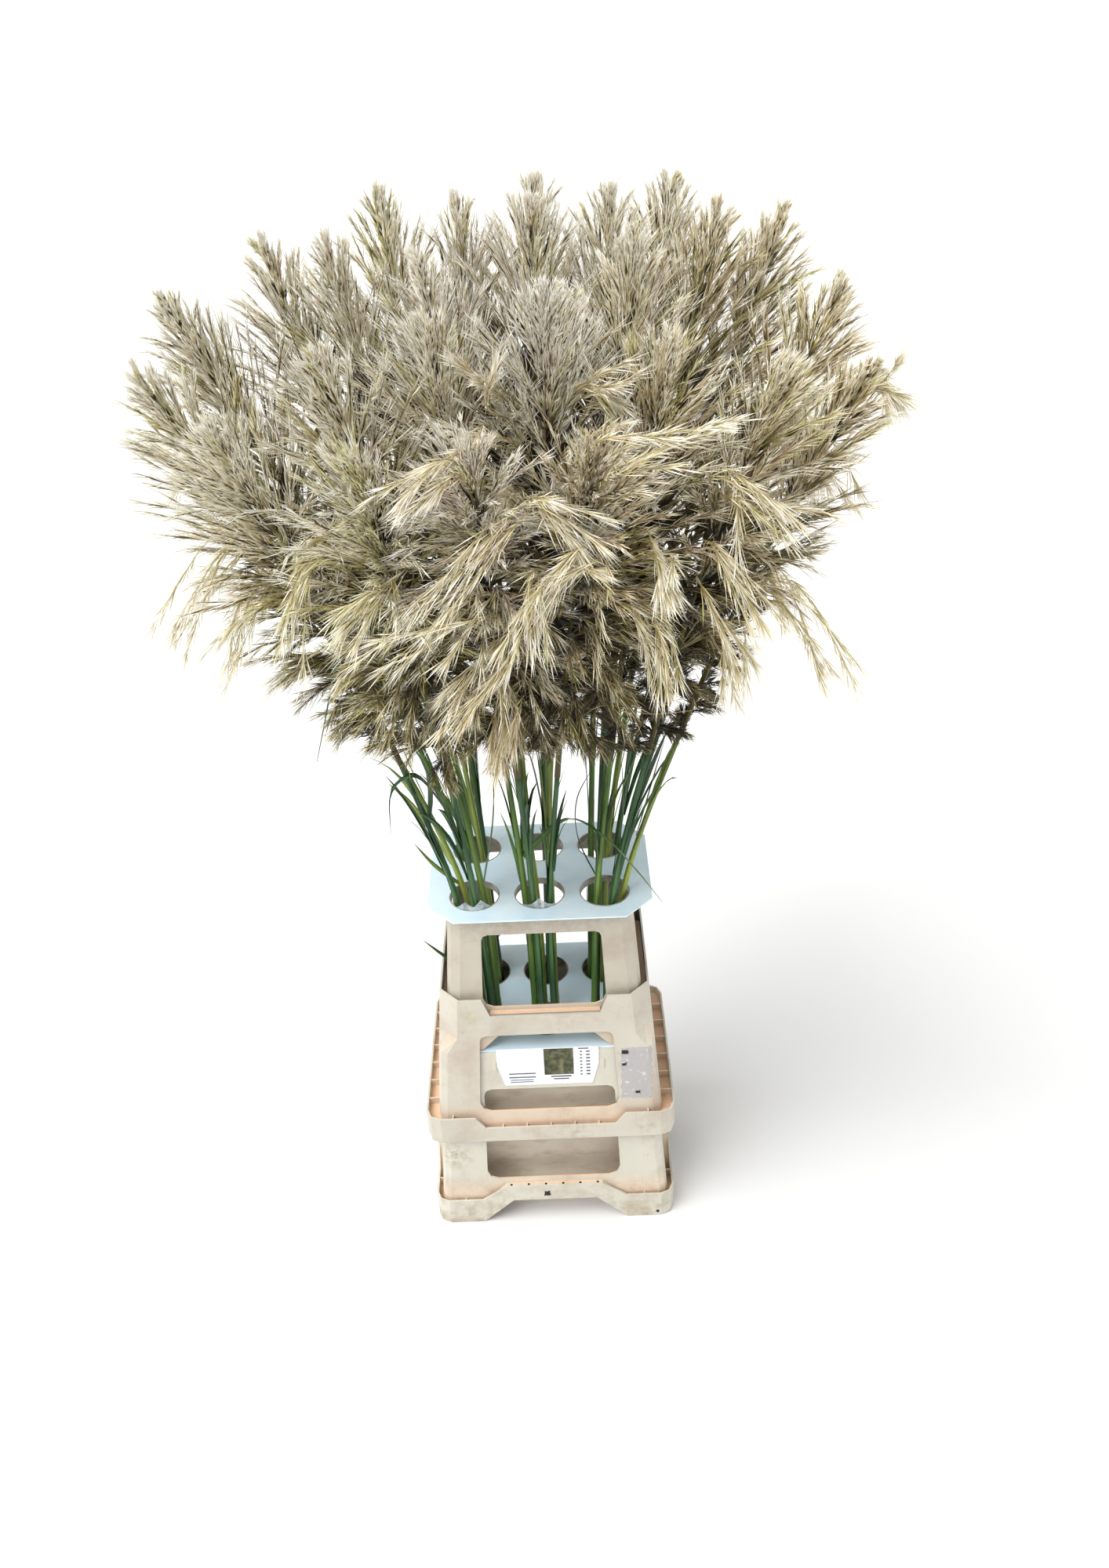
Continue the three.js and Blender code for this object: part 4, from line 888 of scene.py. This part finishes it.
def branch_parts(i, group, rng):
    """The stalks and strands of one group of a plume's branches."""
    t, start = branch_starts(i, group, rng)
    count = len(t)
    root = plume_point(i, t)
    length, droop = branch_sizes(i, t, root, start, rng)
    family = rng.choice(len(FAMILIES), count, p=tint_of(i))
    cream = (droop > CREAM_BRANCH["heavy"]) & (rng.uniform(0, 1, count) < CREAM_BRANCH["share"])
    family = np.where(cream, CREAM, family)
    # Drooping cream branches get a little lighter: a painted highlight.
    branch_tone = rng.normal(0, BRANCH["tone"], count) + CREAM_BRANCH["lighter"] * cream

    s = (np.arange(group["strands"]) + rng.uniform(0, 1, (count, group["strands"]))) / group["strands"]
    s = ROOTS["first"] + ROOTS["range"] * s ** ROOTS["power"]
    across, over = frame_of(start)
    bend = across * rng.normal(0, SIDE_BEND, (count, 1)) + over * rng.normal(0, SIDE_BEND, (count, 1))
    line = [a[:, None] for a in (root, start, bend)] + [a[:, None, None] for a in (length, droop)]
    origin = branch_points(*line, s)
    ahead = unit(branch_points(*line, s + 0.03) - origin)
    lowness = np.clip((LIGHT_FROM_Z - origin[..., 2]) / LIGHT_OVER, 0, 1)
    turn = rng.uniform(0, 2 * math.pi, s.shape)[..., None]
    loose = np.where(rng.uniform(0, 1, s.shape) < SPREAD["loose"][0], SPREAD["loose"][1], 1.0)
    spread = rng.uniform(*SPREAD["range"], s.shape) * (1 + SPREAD["by_s"] * s)
    spread = spread * (1 + SPREAD["by_t"] * t[:, None]) * loose * (1 + SPREAD["by_low"] * lowness)
    high = np.interp(t, (0.5, 1), (0, 1))[:, None]
    short = np.interp(length, (0, LENGTH["short"][1]), (LENGTH["short"][0], 1))[:, None]
    size = rng.uniform(*LENGTH["range"], s.shape) * (1 + LENGTH["high"] * high) * short
    size = size * (LENGTH["at_root"] + LENGTH["by_s"] * s + LENGTH["by_low"] * lowness)
    sag = (SAG["least"] + SAG["by_droop"] * droop[:, None]) * rng.uniform(*SAG["range"], s.shape)
    width = np.interp(s, *WIDTH["along"]) * rng.uniform(*WIDTH["range"], s.shape)
    width = width * (1 + WIDTH["by_low"] * lowness)

    # The parted plume gets none of the painted shade that lowness brings to tone and colour.
    if i in PARTED:
        lowness = np.zeros(s.shape)
    # Painted shade: tone is darker low down and near the branch's root.
    tone = TONE["at_root"] + TONE["by_low"] * lowness
    tone = tone + (TONE["tip"] + TONE["low_tip"] * lowness) * s ** TONE["power"]
    tone = tone + branch_tone[:, None] + rng.normal(0, TONE["spread"], s.shape)
    tone = tone + TONE["high"] * np.interp(t, (0.8, 1), (0, 1))[:, None]
    # Painted light: the pinkish and parted plumes are lighter against the shade in the middle of the bunch.
    tone = tone + LIGHTER["pinkish"] * (i in PINKISH) + LIGHTER["parted"] * (i in PARTED)
    tone = tone - (DARKER["high"] + DARKER["low"] * lowness) * (i in BROWNISH)
    u = in_family(strand_families(s, t, family, lowness, rng), tone)
    hidden = buried(origin) & (i not in PARTED)
    kept = ~hidden | (rng.uniform(0, 1, s.shape) < BURIED["kept"])
    columns = [a[kept][:, None] for a in (size, width, sag)]
    direction = fanned(ahead, turn, spread[..., None])[kept]
    strands = strand_solids(origin[kept], direction, *columns, u[kept], rng)

    # Stalks: near-black blades, painted shade inside the plume, three times wider where buried.
    share = np.broadcast_to(np.arange(STALK["blades"]) / STALK["blades"], (count, STALK["blades"]))
    foot = branch_points(*line, share)
    way = branch_points(*line, share + STALK["overlap"] / STALK["blades"]) - foot
    tone = STALK["tone"] + STALK["lighter"] * share + rng.normal(0, STALK["spread"], share.shape)
    width = (STALK["width"] + STALK["by_share"] * share) * np.where(buried(foot), BURIED["stalk"], 1)
    columns = [a.reshape(-1, 1) for a in (np.linalg.norm(way, axis=-1), width, np.zeros(share.shape))]
    foot, way = foot.reshape(-1, 3), way.reshape(-1, 3)
    return [strands, strand_solids(foot, unit(way), *columns, in_family(SHADE, tone).ravel(), rng)]


def tail_parts(i, leaves_at, crest, tip, rng):
    """One bright spray that bends over at its crest, made of a few that lie side by side."""
    parts = []
    first = TAIL["from"]
    for _ in range(TAIL["sprays"]):
        over = np.array(crest, float) + rng.normal(0, TAIL["crest_jitter"], 3)
        end = np.clip(tip + rng.normal(0, TAIL["tip_jitter"], 3) * [1, 0.5, 1], *BRANCH_ENDS)
        line = [plume_point(i, leaves_at), over, end]
        s = first + (1 - first) * np.sqrt(rng.uniform(0, 1, TAIL["strands"]))
        origin = curve_points(line, 0.97 * s)
        ahead = unit(curve_points(line, 0.97 * s + 0.03) - origin)
        turn = rng.uniform(0, 2 * math.pi, (len(s), 1))
        direction = fanned(ahead, turn, rng.uniform(*TAIL["spread"], (len(s), 1)))
        own_family = rng.uniform(0, 1, len(s)) < TAIL["own_family"]
        family = np.where(own_family, rng.choice(len(FAMILIES), len(s), p=tint_of(i)), CREAM)
        lowness = np.clip((TAIL["light_from_z"] - origin[:, 2]) / LIGHT_OVER, 0, 1)
        at_root, by_low, by_s, jitter = TAIL["tone"]
        # Painted shade: a tail's tone is darker lower down.
        tone = at_root + by_low * lowness + by_s * (s - first) / (1 - first) + rng.normal(0, jitter, len(s))
        columns = [rng.uniform(*TAIL[name], (len(s), 1)) for name in ("length", "width", "sag")]
        parts.append(strand_solids(origin, direction, *columns, in_family(family, tone), rng))
        stalk = curve_points(line, np.linspace(0, 0.95, TAIL["points"]))
        radii = np.linspace(*TAIL["radii"], TAIL["points"])
        parts.append(tube(stalk, radii, TAIL["sides"], in_family(OLIVE, 0.55)))
    return parts


def outer_tails():
    """Rows like those in TAILS, for the plumes at the sides and the back."""
    rows = []
    for i in OUTER_TAILS["plumes"]:
        for share in OUTER_TAILS["shares"]:
            root = plume_point(i, share)
            out = unit(np.array([root[0], root[1] - OUTER_TAILS["middle_y"], 0.0]))
            steps = zip(OUTER_TAILS["out"], OUTER_TAILS["rise"])
            rows.append((i, share, *(root + out * reach + [0, 0, rise] for reach, rise in steps)))
    return rows


def plume_mesh(i):
    rng = np.random.default_rng(SEED + i)
    parts = branch_parts(i, LOW_BRANCHES, rng) + branch_parts(i, HIGH_BRANCHES, rng)
    for plume, leaves_at, crest, tip in TAILS + outer_tails():
        if plume == i:
            parts += tail_parts(i, leaves_at, crest, tip, rng)
    line = plume_point(i, np.linspace(0, AXIS["to"], AXIS["rings"]))
    radii = np.linspace(*AXIS["radii"], AXIS["rings"])
    family = PINK if i in PARTED else OLIVE
    parts.append(tube(line, radii, AXIS["sides"], in_family(family, AXIS["tone"])))
    return merged(parts)


def make_plumes():
    material = plume_material()
    for i in range(len(PLUMES)):
        name = f"plume_{i + 1:02d}"
        ob = mesh_object(f"{name}_feathers", *plume_mesh(i))
        stand_for(ob, material, "beige_plume", name)


# ---- stems and leaves -----------------------------------------------------------------------


def blade(path, width, uv_strip, turn=0.0):
    """A grass blade along path: a closed, thin, V-folded strip that narrows to a point."""
    path = np.asarray(path, float)
    along = unit(np.gradient(path, axis=0))
    side = unit(np.cross(along, [math.sin(turn), math.cos(turn) * 0.3, 1.0]))
    over = np.cross(side, along)
    share = np.linspace(0, 1, len(path))
    half = 0.5 * width * np.interp(share, *BLADE["widths"])[:, None]
    low, high = BLADE["fold"] * half, BLADE["fold"] * half + BLADE["thick"]
    middle = BLADE["thick"] * BLADE["rib"]
    rings = [path + side * half * across + over * rise for across, rise in
             ((-1, low), (0, 0), (1, low), (1, high), (0, middle), (-1, high))]
    u = uv_strip[0] + (uv_strip[1] - uv_strip[0]) * np.array([0.02, 0.5, 0.98, 0.96, 0.52, 0.04])
    return closed_skin(np.stack(rings, axis=1), u, share[:, None] * 0.98 + 0.01)


def stem_tube(i):
    """A stem with the small steps where its leaves' sheaths end."""
    steps = [[x - 0.002, x + 0.002] for x in SHEATHS]
    share = np.sort(np.concatenate([np.linspace(0, 1, STEM_RINGS), *steps]))
    passed = sum((share > x).astype(float) for x in SHEATHS)
    radius = STEM_RADIUS["foot"] + (STEM_RADIUS["neck"] - STEM_RADIUS["foot"]) * share
    radius = radius + SHEATH_STEP * (len(SHEATHS) / 2 - passed)
    angle = angles(STEM_SIDES)
    lobes = 1 + STEM_LOBES[0] * np.cos(2 * angle + i) + STEM_LOBES[1] * np.cos(5 * angle)
    centre = stem_point(i, share)
    rings = centre[:, None] + rings_round(centre, STEM_SIDES) * (radius[:, None] * lobes)[..., None]
    return closed_skin(rings, 0.02 + 0.46 * np.arange(STEM_SIDES) / STEM_SIDES, 0.01 + 0.98 * share[:, None])


def stem_at(i, height):
    """A stem's line in many points, and the index of the one at a height."""
    line = stem_point(i, np.linspace(0, 1, STEM_POINTS))
    return line, int(np.argmin(abs(line[:, 2] - height)))


def side_blade(i, kind, rng):
    """The line of a narrow blade that leaves its stem slowly and rises beside it."""
    line, k = stem_at(i, rng.uniform(*kind["from"]))
    last = STEM_POINTS - 1
    length = rng.uniform(*kind["lengths"])
    reach = min(last, k + int(STEM_POINTS * length / np.linalg.norm(line[-1] - line[0])))
    along = unit(line[min(k + 5, last)] - line[k - 5])
    side, other = frame_of(along)
    angle = rng.uniform(0, 2 * math.pi)
    out = side * math.cos(angle) + other * math.sin(angle)
    s = np.linspace(0, 1, BESIDE["points"])
    turn = kind["turn"] * rng.uniform(*BESIDE["turn"])
    beside = line[np.round(k + (reach - k) * s).astype(int)]
    drop = np.array([0, 0, -1.0]) * length * turn * s[:, None] ** 3
    return beside + out * (BESIDE["gap"] + length * turn * s[:, None] ** 1.6) + drop


def make_stems():
    materials = [stem_material(name, *colours) for name, colours in STEM_GREENS.items()]
    for i in range(len(PLUMES)):
        rng = np.random.default_rng(SEED + 1000 + i)
        parts = [stem_tube(i)]
        paths = []
        for stem, width, height, points in LEAVES:
            if stem == i:
                line, k = stem_at(i, height)
                paths.append((curve_points([line[k], *points], np.linspace(0, 1, LEAF_STEPS)), width))
        for kind in (SIDE_BLADES, INNER_BLADES):
            for _ in range(kind["count"]):
                paths.append((side_blade(i, kind, rng), kind["width"] * rng.uniform(*BESIDE["width"])))
        for n, (path, width) in enumerate(paths):
            strip = 0.5 + 0.5 * n / len(paths)
            strip = (strip + 0.005, strip + 0.5 / len(paths) - 0.005)
            parts.append(blade(path, width, strip, rng.uniform(0, 6)))
        name = f"stem_{i + 1:02d}"
        ob = mesh_object(f"{name}_grown", *merged(parts), smooth=True)
        stand_for(ob, materials[int(rng.integers(0, 3))], "green_stem", name)


def make_straws():
    """Dry straws that stick out of the plumes."""
    material = two_tone("dry_straw")
    for k, (i, width, share, points) in enumerate(STRAWS):
        path = curve_points([plume_point(i, share), *points], np.linspace(0, 1, LEAF_STEPS))
        ob = mesh_object(f"dry_straw_{k + 1}", *blade(path, width, (0.02, 0.98)))
        stand_for(ob, material, "green_stem")


# ---- container ------------------------------------------------------------------------------


def rounded(node):
    """A copy of a CAD node with its edges rounded, to stand in for it."""
    me = bpy.data.objects[node].data.copy()
    me.name = f"{node}_rounded"
    me.materials.clear()
    shape = bmesh.new()
    shape.from_mesh(me)
    bmesh.ops.remove_doubles(shape, verts=shape.verts, dist=1e-6)
    shape.to_mesh(me)
    shape.free()
    return bevelled(me, *EDGES["plastic"])


def bevelled(me, width, segments):
    """An object from a mesh, with its sharp edges rounded."""
    ob = linked(me.name, me)
    bevel = ob.modifiers.new("edges", "BEVEL")
    bevel.width = width * MM
    bevel.segments = segments
    bevel.limit_method = "ANGLE"
    bevel.angle_limit = math.radians(32)
    bevel.use_clamp_overlap = True
    finished = bpy.data.meshes.new_from_object(ob.evaluated_get(bpy.context.evaluated_depsgraph_get()))
    ob.modifiers.clear()
    ob.data = finished
    return ob


def hole_sheet(node):
    """A stand-in for a hole sheet, with rounder holes and softer edges."""
    (hx, hy), low = SHEETS[node]
    cx, cy = hx - SHEET_CHAMFER, hy - SHEET_CHAMFER
    corners = [(cx, hy), (-cx, hy), (-hx, cy), (-hx, -cy), (-cx, -hy), (cx, -hy), (hx, -cy), (hx, cy)]
    outline = [(x, y, low) for x, y in corners]
    shape = bmesh.new()
    edges = []
    for ring in [outline, *[circle(hole, HOLE_RADIUS, HOLE_SIDES, low) for hole in HOLES]]:
        points = [shape.verts.new([c * MM for c in point]) for point in ring]
        edges += [shape.edges.new(pair) for pair in zip(points, points[1:] + points[:1])]
    plate = bmesh.ops.triangle_fill(shape, use_beauty=True, edges=edges)["geom"]
    faces = [f for f in plate if isinstance(f, bmesh.types.BMFace)]
    grown = bmesh.ops.extrude_face_region(shape, geom=faces)["geom"]
    raised = [v for v in grown if isinstance(v, bmesh.types.BMVert)]
    bmesh.ops.translate(shape, vec=(0, 0, SHEET_THICK * MM), verts=raised)
    bmesh.ops.recalc_face_normals(shape, faces=shape.faces)
    me = bpy.data.meshes.new(f"{node}_cut")
    shape.to_mesh(me)
    shape.free()
    return bevelled(me, *EDGES["sheet"])


def make_hole_rims():
    """The short clouded rim that goes down round every hole."""
    parts = []
    for _, low in SHEETS.values():
        top, bottom = low + SHEET_THICK + HOLE_RIM["above"], low - HOLE_RIM["below"]
        for hole in HOLES:
            walls = (("outside", bottom), ("outside", top), ("inside", top), ("inside", bottom))
            rings = [circle(hole, HOLE_RIM[wall], HOLE_SIDES, z) for wall, z in walls]
            parts.append(closed_skin(np.array(rings), loop=True))
    stand_for(mesh_object("hole_rims", *merged(parts)[:2]), two_tone("clouded_rims"), "clear_sheet")


def make_flaps():
    """The clear petals that stand up at the front edges of two holes."""
    material = two_tone("clear_flaps")
    for n, (hole, heights) in enumerate(FLAPS):
        share = np.linspace(0, 1, 4 * (len(heights) - 1) + 1)
        angle = np.radians(-90 + FLAP_HALF_ANGLE * (2 * share - 1))
        height = np.interp(share, np.linspace(0, 1, len(heights)), heights)
        corners = []
        for radius, rise in ((FLAP_RADII[0], 0), (FLAP_RADII[1], 0), (FLAP_RADII[1], 1), (FLAP_RADII[0], 1)):
            r = radius - FLAP_LEAN * height * rise
            x, y = HOLES[hole][0] + r * np.cos(angle), HOLES[hole][1] + r * np.sin(angle)
            z = UPPER_SHEET_Z + SHEET_THICK - FLAP_SUNK + (FLAP_SUNK + 0.1 + height) * rise
            corners.append(np.stack([x, y, z], -1))
        ob = mesh_object(f"sheet_flap_{n + 1}", *closed_skin(np.stack(corners, axis=1))[:2])
        stand_for(ob, material, "clear_sheet")


def dress(node, material):
    """A CAD node keeps its shape and gets a better material."""
    ob = bpy.data.objects[node]
    ob.data.materials.clear()
    ob.data.materials.append(material)


def card_front_y(z):
    return -np.interp(z, *BASE_WALL) - CARD_FRONT


def make_plates(name, material, rows, proud):
    """Thin plates on the card's front, each from x0 to x1 and z0 to z1."""
    parts = []
    for x0, x1, z0, z1 in rows:
        corners = [(x0, z0), (x1, z0), (x1, z1), (x0, z1)]
        rings = [[(x, card_front_y(z) - out, z) for x, z in corners] for out in (0, proud)]
        parts.append(closed_skin(np.array(rings)))
    stand_for(mesh_object(name, *merged(parts)[:2]), material, "white_card")


def make_card_print():
    """A plain block, text-like lines and a column of ticks, in place of the real card's print."""
    heights = CARD_TICKS["top"] - CARD_TICKS["step"] * np.arange(CARD_TICKS["count"])
    ticks = [(*x, z, z + CARD_TICKS["high"]) for z in heights for x in CARD_TICKS["x"]]
    make_plates("card_lines", two_tone("print_ink"), CARD_LINES + ticks, CARD_PROUD["lines"])
    make_plates("card_block", block_material(), [CARD_BLOCK], CARD_PROUD["block"])


def make_ledge_holes():
    """Six small dark drain holes in the ledge over the base stand's front arch."""
    parts = []
    for x in LEDGE_HOLES["x"]:
        centre = (x, LEDGE_HOLES["y"])
        rings = [circle(centre, LEDGE_HOLES["radius"], LEDGE_HOLES["sides"], z) for z in LEDGE_HOLES["z"]]
        parts.append(closed_skin(np.array(rings)))
    stand_for(mesh_object("ledge_holes", *merged(parts)[:2]), two_tone("black_marks"), "cream_plastic")


def front_hits(ob):
    """A function that gives the place and normal where a line from the front meets a piece at x and z."""
    tree = BVHTree.FromObject(ob, bpy.context.evaluated_depsgraph_get())

    def hit(x, z):
        place, normal, _, _ = tree.ray_cast(Vector((x * MM, -0.4, z * MM)), Vector((0, 1, 0)))
        return np.array(place) / MM, np.array(normal)

    return hit


def film(name, hit, x_range, z_range, rng, points, proud, ragged):
    """A thin sheet laid on the front of a piece, with a torn edge."""
    nx, nz = points
    grid = np.zeros((2, nz, nx, 3))
    for j, level in enumerate(np.linspace(*z_range, nz)):
        for k, across in enumerate(np.linspace(*x_range, nx)):
            edge = ragged * (j in (0, nz - 1) or k in (0, nx - 1))
            x, z = across + edge * rng.uniform(-1, 1), level + edge * rng.uniform(-1, 1)
            place, normal = hit(x, z)
            grid[0, j, k] = place + normal * 0.05
            grid[1, j, k] = place + normal * proud * rng.uniform(0.6, 1.4)
    index = np.arange(2 * nx * nz).reshape(2, nz, nx)
    faces = []
    for side in (0, 1):
        a, b = index[side, :-1, :-1], index[side, :-1, 1:]
        c, d = index[side, 1:, 1:], index[side, 1:, :-1]
        order = [(a, b, c), (a, c, d)] if side else [(a, c, b), (a, d, c)]
        faces += [np.stack(o, -1).reshape(-1, 3) for o in order]
    rim = [*index[:, 0, :-1].T, *index[:, :-1, -1].T, *index[:, -1, :0:-1].T, *index[:, :0:-1, 0].T]
    for (low, high), (low_next, high_next) in zip(rim, rim[1:] + rim[:1]):
        faces.append(np.array([(low, low_next, high_next), (low, high_next, high)]))
    return mesh_object(name, grid.reshape(-1, 3), np.concatenate(faces))


def make_tape_and_marks(pieces):
    rng = np.random.default_rng(SEED + 5000)
    hits = {node: front_hits(ob) for node, ob in pieces.items()}
    shape = {key: TAPE[key] for key in MARK}
    tape = film("tape_remnant", hits["middle_collar"], TAPE["x"], TAPE["z"], rng, **shape)
    stand_for(tape, tape_material(), "clear_sheet")
    black = two_tone("black_marks")
    for n, (node, x, z, wide, high) in enumerate(BLACK_MARKS):
        spans = (x - wide / 2, x + wide / 2), (z - high / 2, z + high / 2)
        mark = film(f"black_mark_{n + 1}", hits[node], *spans, rng, **MARK)
        stand_for(mark, black, "cream_plastic")


def make_container():
    made = {}
    for k, node in enumerate(PLASTIC):
        made[node] = stand_for(rounded(node), plastic_material(node, 3.1 * k), "cream_plastic", node)
    clear = sheet_material()
    for node in SHEETS:
        stand_for(hole_sheet(node), clear, "clear_sheet", node)
    make_hole_rims()
    dress("water_bucket", bucket_material())
    dress("water", two_tone("murky_water"))
    dress("label_card", two_tone("white_card"))
    make_flaps()
    make_card_print()
    make_ledge_holes()
    make_tape_and_marks(made)


# ---- stage ----------------------------------------------------------------------------------


def camera_axes(yaw, pitch, roll):
    """Rows: the camera's right, down and forward directions in the part's frame."""
    cy, sy, cp, sp, cr, sr = (f(a) for a in (yaw, pitch, roll) for f in (math.cos, math.sin))
    turn_z = np.array([[cy, sy, 0], [-sy, cy, 0], [0, 0, 1]])
    level = np.array([[1, 0, 0], [0, 0, -1], [0, 1, 0]], float)
    turn_x = np.array([[1, 0, 0], [0, cp, -sp], [0, sp, cp]])
    turn_y = np.array([[cr, -sr, 0], [sr, cr, 0], [0, 0, 1]])
    return turn_y @ turn_x @ level @ turn_z


def make_camera():
    data = bpy.data.cameras.new("camera")
    data.sensor_width = SENSOR
    data.lens = FOCAL_PX / IMAGE_HEIGHT * SENSOR
    data.clip_end = 100
    camera = linked("camera", data)
    right, down, forward = camera_axes(**CAMERA_TURN)
    world = Matrix.Identity(4)
    for row in range(3):
        world[row][0], world[row][1], world[row][2] = right[row], -down[row], -forward[row]
        world[row][3] = CAMERA_AT[row] * MM
    camera.matrix_world = world
    bpy.context.scene.camera = camera


def make_stage():
    """A pale floor that rises far away all round, a soft sun from the upper left and a pale sky."""
    turns = angles(FLOOR_SIDES)
    rings = [(r * math.cos(a), r * math.sin(a), z) for r, z in FLOOR[1:] for a in turns]
    triangles = [(0, 1 + k, 1 + (k + 1) % FLOOR_SIDES) for k in range(FLOOR_SIDES)]
    for ring in range(len(FLOOR) - 2):
        for k in range(FLOOR_SIDES):
            a, b = (1 + ring * FLOOR_SIDES + j % FLOOR_SIDES for j in (k, k + 1))
            triangles += [(a, a + FLOOR_SIDES, b + FLOOR_SIDES), (a, b + FLOOR_SIDES, b)]
    floor = mesh_object("floor", [(0, 0, FLOOR[0][1]), *rings], triangles, smooth=True)
    n = Nodes("floor_paper", Roughness=0.9)
    paper = n.ramp(n.noise(None, 3.0), [(0, (224, 224, 224)), (1, (228, 228, 228))])
    floor.data.materials.append(n.paint(paper))
    world = bpy.data.worlds.new("studio")
    bpy.context.scene.world = world
    world.use_nodes = True
    background = world.node_tree.nodes["Background"]
    background.inputs["Color"].default_value = WORLD["colour"]
    background.inputs["Strength"].default_value = WORLD["strength"]
    sun = bpy.data.lights.new("sun", "SUN")
    sun.energy = SUN["energy"]
    sun.angle = math.radians(SUN["spread"])
    linked("sun", sun).rotation_euler = Vector(SUN["from"]).to_track_quat("Z", "Y").to_euler()
    bpy.context.scene.view_settings.view_transform = "Standard"


make_camera()
make_stage()
make_plumes()
make_stems()
make_straws()
make_container()
